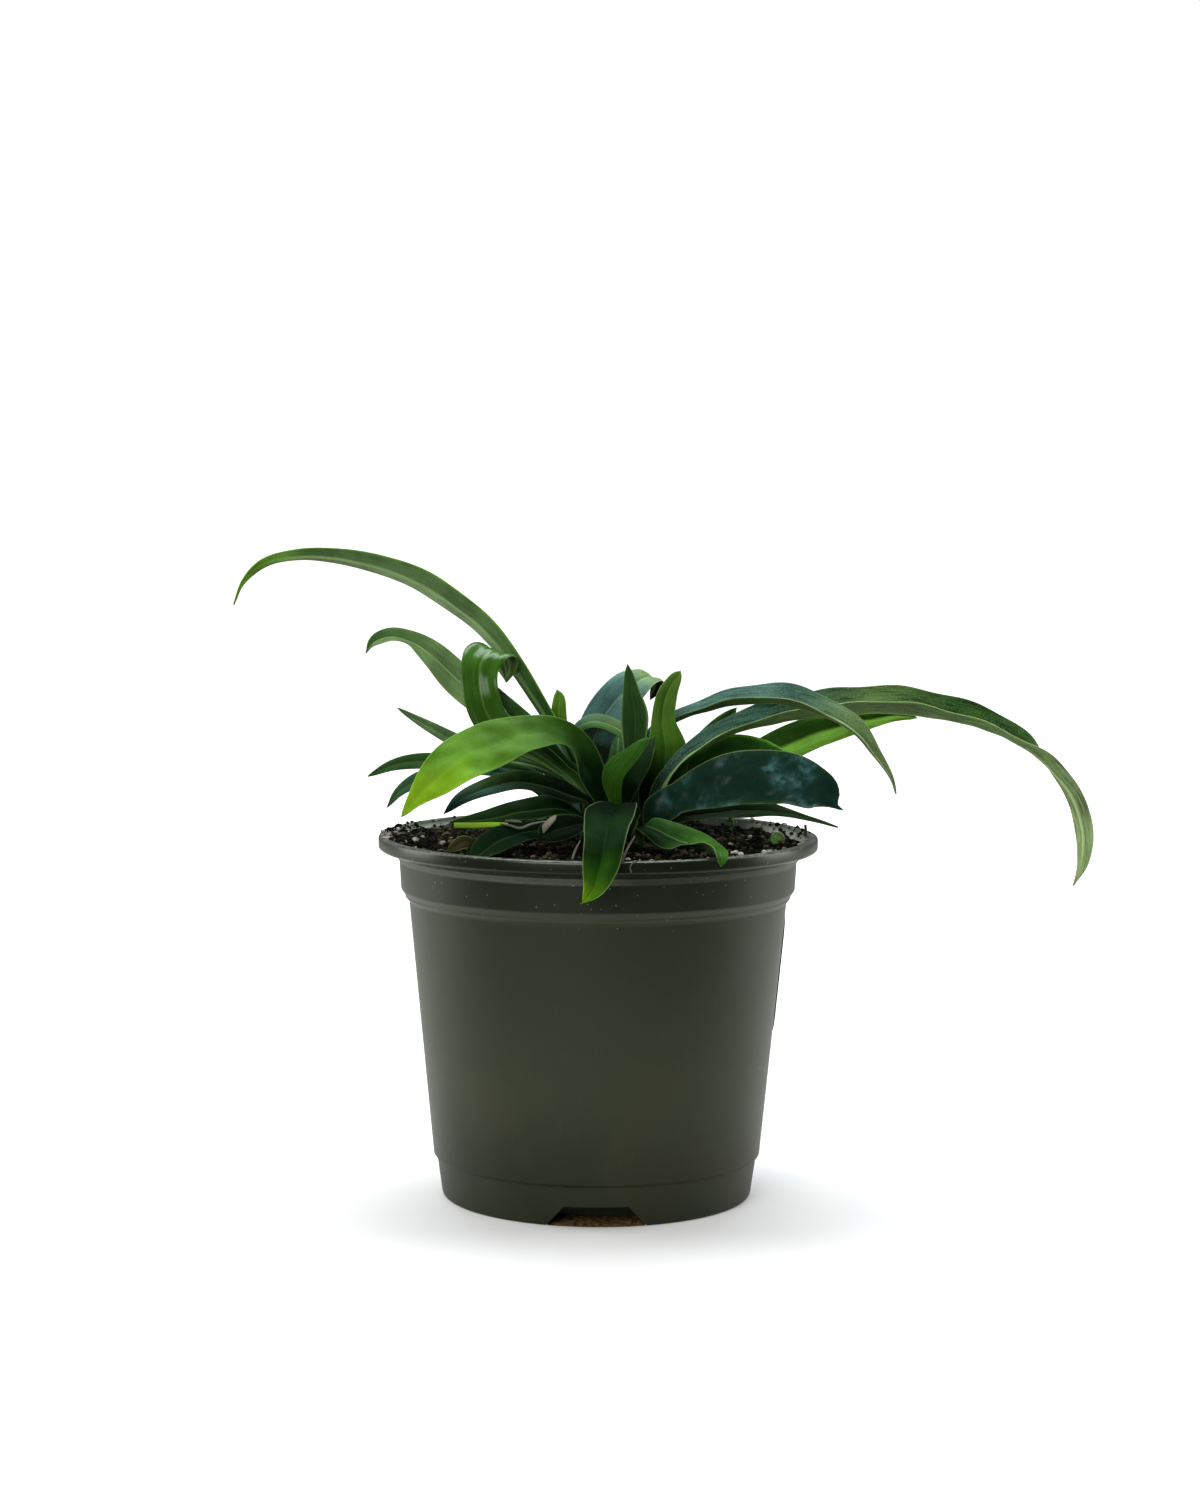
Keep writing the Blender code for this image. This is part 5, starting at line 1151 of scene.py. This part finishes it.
            (-16, 43, 109, 4.4, 15, -0.1, 0.2, 1), (-20, 54, 104, 3.2, 15, -0.2, 0.6, 0.8),
            (-22, 62, 96, 0.4, 10, -0.2, 0.8, 0.5),
        ],
    },
    "frond_back_middle": {
        "leaf": "blue", "root": (4, 16), "face": (0, -1, 0.2), "gloss": 0.4,
        "left": "0 deep, 0.4 moss, 1 sage", "neckHalf": 3.0,
        "rows": [
            (4.5, 22, 101, 2, 20, 0, -0.9, 0.5), (5, 31, 110, 4.4, 18, 0, -0.6, 0.8),
            (6, 43, 114, 5, 14, 0, -0.1, 1), (8, 55, 111, 4, 14, 0, 0.4, 0.9),
            (11, 65, 103, 0.4, 10, 0, 0.7, 0.7),
        ],
    },
    "frond_back_right": {
        "leaf": "green", "root": (12.5, 16), "face": (-0.2, -1, 0.2), "gloss": 0.4,
        "left": "0 deep, 0.4 moss, 1 spring", "neckHalf": 3.0,
        "rows": [
            (15, 22, 97, 1.8, 20, -0.1, -0.9, 0.5), (19, 31, 104, 4, 18, -0.1, -0.5, 0.85),
            (24, 42, 107, 4.6, 15, 0, 0, 1), (30, 53, 104, 3.4, 15, 0.2, 0.5, 0.85),
            (35, 61, 97, 0.4, 10, 0.3, 0.7, 0.6),
        ],
    },
    "frond_back_far_right": {
        "leaf": "dark", "root": (18.5, 11.5), "face": (-0.4, -0.9, 0.2), "gloss": 0.4,
        "left": "0 deep, 0.4 slate, 1 leaf",
        "rows": [
            (23, 17, 94, 1.6, 20, -0.3, -0.7, 0.7), (30, 24, 101, 3.4, 18, -0.2, -0.3, 0.9),
            (38, 32, 103, 3.8, 15, 0, 0.1, 1), (46, 39, 100, 2.6, 15, 0.3, 0.4, 0.9),
            (52, 44, 95, 0.4, 10, 0.5, 0.5, 0.7),
        ],
    },
    "frond_back_low": {
        "leaf": "green", "root": (8.5, 13), "face": (0, -1, 0.2), "gloss": 0.4,
        "left": "0 deep, 0.4 leaf, 1 spring", "neckHalf": 3.0,
        "rows": [
            (9, 19, 92, 1.2, 20, 0, -0.7, 0.7), (10, 28, 97, 2.8, 18, 0, -0.3, 0.9),
            (11, 38, 98, 3.2, 15, 0, 0.1, 1), (12, 47, 95, 2.2, 15, 0, 0.4, 0.9),
            (12.5, 53, 91.5, 0.4, 10, 0, 0.5, 0.8),
        ],
    },
}


leafShade = {"satin": leafFinish("leafSatin", 0.03), "glossy": leafFinish("leafGlossy", 0.22),
             "waxy": leafFinish("leafWaxyPaintedSheen", 0.07, 0.42), "matt": leafFinish("leafMatt", 0.01)}
for order, (name, spec) in enumerate(fronds.items()):
    makeLeaf(name, spec, leafShade[spec.get("shade", leafUsual["shade"])], 100 + order)
print("leaves", len(fronds))


# the curled young frond by the right wall: a coiled bud on a short stem
crozier = {
    "at": (44.0, 0.0), "height": 88.5, "stem": [(0.9, 82.0, 0.75), (1.3, 86.6, 0.72)],
    "steps": 24, "firstTurn": -28, "turn": 36, "reach": 1.3, "closing": 0.052, "lean": 0.035,
    "radius": 0.8, "thinning": 0.014,
}


def makeCrozier():
    c = crozier
    x, y = c["at"]
    rows = [(x + aside, y, z, radius) for aside, z, radius in c["stem"]]
    for k in range(c["steps"]):
        turn = math.radians(c["firstTurn"] + c["turn"] * k)
        reach = c["reach"] - c["closing"] * k
        rows.append((x + reach * math.cos(turn), y - c["lean"] * k, c["height"] + reach * math.sin(turn),
                     c["radius"] - c["thinning"] * k))
    finish = strandFinish("crozierScale", linear(84, 66, 44), linear(92, 142, 62), 0.5)
    strand("bud_curled", rows, finish, "leaf_green", 12, 0.25, ["crozier_right"])


makeCrozier()

# bits that lie about: a dried stalk, a shed strip, root threads and a seedling
# tone, flatness and rows of x, y, z, radius
scraps = {
    "stalk_dry": ("dry", 0.6, [
        (-23.6, -21.5, 94.3, 0.25), (-21, -21.9, 93.9, 0.5), (-18.7, -22, 93.3, 0.6),
        (-16, -21.2, 94.2, 0.5), (-12.8, -20, 94.8, 0.3),
    ]),
    "strip_bright": ("lime", 2.0, [
        (-34.5, -21.6, 93.9, 0.34), (-30, -21.6, 93.9, 0.36), (-25, -20.6, 94, 0.32),
        (-21.7, -19.6, 93.9, 0.2),
    ]),
    "patch_torn": ("dry", 0.3, [
        (-13.4, -25.8, 92.6, 0.5), (-12.4, -24.6, 94.2, 1.0), (-11.0, -22.8, 95.6, 0.9),
        (-10.2, -21.6, 96.4, 0.3),
    ]),
    "stalk_dry_short": ("dry", 1.0, [
        (-22.4, -18.8, 94.7, 0.25), (-20.3, -19, 94.7, 0.4), (-18.3, -19, 94.5, 0.2),
    ]),
    "root_thread_left": ("dry", 1.0, [
        (-4.2, -29, 91.2, 0.15), (-5.2, -29.6, 89.4, 0.28), (-6, -30, 87.2, 0.3),
        (-6.1, -30.1, 86.2, 0.25),
    ]),
    "root_thread_right": ("dry", 1.0, [
        (8.6, -35, 93, 0.2), (7.6, -38, 91.8, 0.26), (6.4, -42, 90, 0.26), (5.4, -44, 87, 0.2),
    ]),
    "root_thread_rim": ("dry", 1.0, [
        (8.9, -52.6, 89.42, 0.12), (8.3, -53.8, 89.45, 0.16), (7.4, -54.15, 88.2, 0.14),
        (7.7, -54.15, 86.9, 0.1),
    ]),
    "crumb_upright": ("bark", 1.0, [
        (51.2, 3.0, 88.8, 0.35), (51.3, 3.0, 90.4, 0.3), (51.1, 2.9, 91.6, 0.4),
    ]),
    "seedling_right": ("grass", 1.0, [
        (34, 30, 86.6, 0.3), (34.3, 30, 89, 0.35), (33.6, 29.8, 90.6, 0.6), (34.6, 29.8, 91.2, 0.3),
    ]),
}



def makeScraps():
    finishes = {}
    for name, (tone, flat, rows) in scraps.items():
        if tone not in finishes:
            colour = palette[tone]
            tip = tuple(min(1.0, 1.7 * c) for c in colour)
            finishes[tone] = strandFinish("scrap_" + tone, colour, tip, 0.8)
        strand(name, rows, finishes[tone], "soil", 10, 0.25, flat=flat)


makeScraps()

# plain label on the back right of the wall
label = {"low": 39.5, "top": 69.7, "start": 0.5, "end": 62.0, "corner": 5.0, "lift": 0.12, "thick": 0.35,
         "columns": 72, "rows": 28, "wallFoot": (40.3, 10.6), "wallTop": (46.4, 73.2)}


def wallRadius(z):
    (foot, low), (top, high) = label["wallFoot"], label["wallTop"]
    return foot + (z - low) / (high - low) * (top - foot)


def labelFinish():
    board = Board("labelPaper", Specular_IOR_Level=0.08)
    fibre = board.noise(1400.0, 4.0)
    scuff = board.noise(90.0, 4.0)
    colour = board.paint(linear(36, 42, 34), (linear(50, 56, 46), scuff),
                         (linear(84, 88, 78), fibre.step(0.6, 0.8) * 0.3))
    return board.finish(colour, 0.55 + scuff * 0.15, [(fibre, 0.3, 0.05)])


def makeLabel():
    count, tall = label["columns"], label["rows"]
    span = math.radians(label["end"] - label["start"])
    width = span * wallRadius(label["low"])
    high = label["top"] - label["low"]
    layers = []
    for lift in (label["lift"] + label["thick"], label["lift"]):
        for i in range(count + 1):
            edge = min(i, count - i) / count * width
            inset = label["corner"] - edge
            cut = label["corner"] - math.sqrt(label["corner"] ** 2 - inset ** 2) if inset > 0.0 else 0.0
            for j in range(tall + 1):
                z = label["low"] + cut + (high - 2.0 * cut) * j / tall
                turn = math.radians(label["start"]) + span * i / count
                r = wallRadius(z) + lift
                layers.append((r * math.cos(turn), r * math.sin(turn), z))
    faces = slabFaces(tall, count)
    piece = meshObject("label_plain", layers, faces, labelFinish(), "label", ["label_side"])
    piece.data.set_sharp_from_angle(angle=math.radians(40.0))


makeLabel()
print("bud and label")

# pale floor and soft studio light
studio = {
    "floor": 6.0, "floorColour": linear(232, 232, 230), "bounce": linear(190, 190, 182),
    "paintedShadeBounce": linear(30, 30, 30), "paintedPool": (0.11, 0.30), "glow": (0.12, 1.0), "glowFrom": 0.12,
    "glowTo": 0.9, "aim": (0.0, 0.0, 0.1), "sky": (-0.9, 0.1, 0.05, 0.3),
}


def makeFloor():
    # a pale sweep; the camera sees it with a painted glow that grows with distance into the white behind,
    # while light bounced from it on to the pot takes a greyer colour, with a painted pool of light round the
    # pot and painted shade further in front
    board = Board("paleFloor", Emission_Strength=1.0)
    place = board.place()
    away = board.length(place)
    near, far = studio["glow"]
    # painted glow, seen by the camera only, brighter with distance
    glow = near + away.step(studio["glowFrom"], studio["glowTo"]) * far
    direct = board.node("ShaderNodeLightPath")
    colour = board.mix((0.0, 0.0, 0.0), (1.0, 1.0, 1.0), glow * direct)
    # painted pool and shade, seen only in bounced light: bright round the pot, dark further in front
    reach = away.step(*studio["paintedPool"]) * board.part(place, 1).step(0.05, -0.12)
    bounce = board.mix(studio["bounce"], studio["paintedShadeBounce"], reach)
    ground = board.mix(bounce, studio["floorColour"], direct)
    board.feed(board.shader, "Emission Color", colour)
    bm = bmesh.new()
    bmesh.ops.create_circle(bm, cap_ends=True, segments=64, radius=studio["floor"])
    floor = meshed("floor", bm)
    floor.data.materials.append(board.finish(ground, 0.9))


def softbox(name, place, size, watts, colour=(1.0, 1.0, 1.0)):
    lamp = bpy.data.lights.new(name, "AREA")
    lamp.shape = "RECTANGLE"
    lamp.size, lamp.size_y = size
    lamp.energy = watts
    lamp.color = colour
    box = linked(name, lamp)
    box.location = place
    box.rotation_euler = (Vector(studio["aim"]) - Vector(place)).to_track_quat("-Z", "Y").to_euler()


def makeSky():
    # bright all round and above, dim on the side that the camera stands; plain white behind the object
    world = bpy.data.worlds.new("studio")
    bpy.context.scene.world = world
    board = Board("studio", world, "Background", Color=(1.0, 1.0, 1.0, 1.0))
    depth = board.part(board.node("ShaderNodeTexCoord"), 1)
    direct = board.node("ShaderNodeLightPath")
    board.feed(board.shader, "Strength", depth.step(*studio["sky"]).larger(direct))


makeFloor()
makeSky()
softbox("overhead", (0.0, 0.2, 0.75), (0.6, 0.5), 7.0, (0.9, 0.96, 1.0))
softbox("frontFill", (-0.35, -0.95, 0.5), (0.7, 0.5), 7.0)
softbox("leftSide", (-0.9, 0.25, 0.4), (0.5, 0.9), 5.5)
softbox("rightSide", (0.9, 0.25, 0.4), (0.5, 0.9), 5.2)
scene = bpy.context.scene
scene.view_settings.view_transform = "Standard"
scene.cycles.use_denoising = True
print("studio")
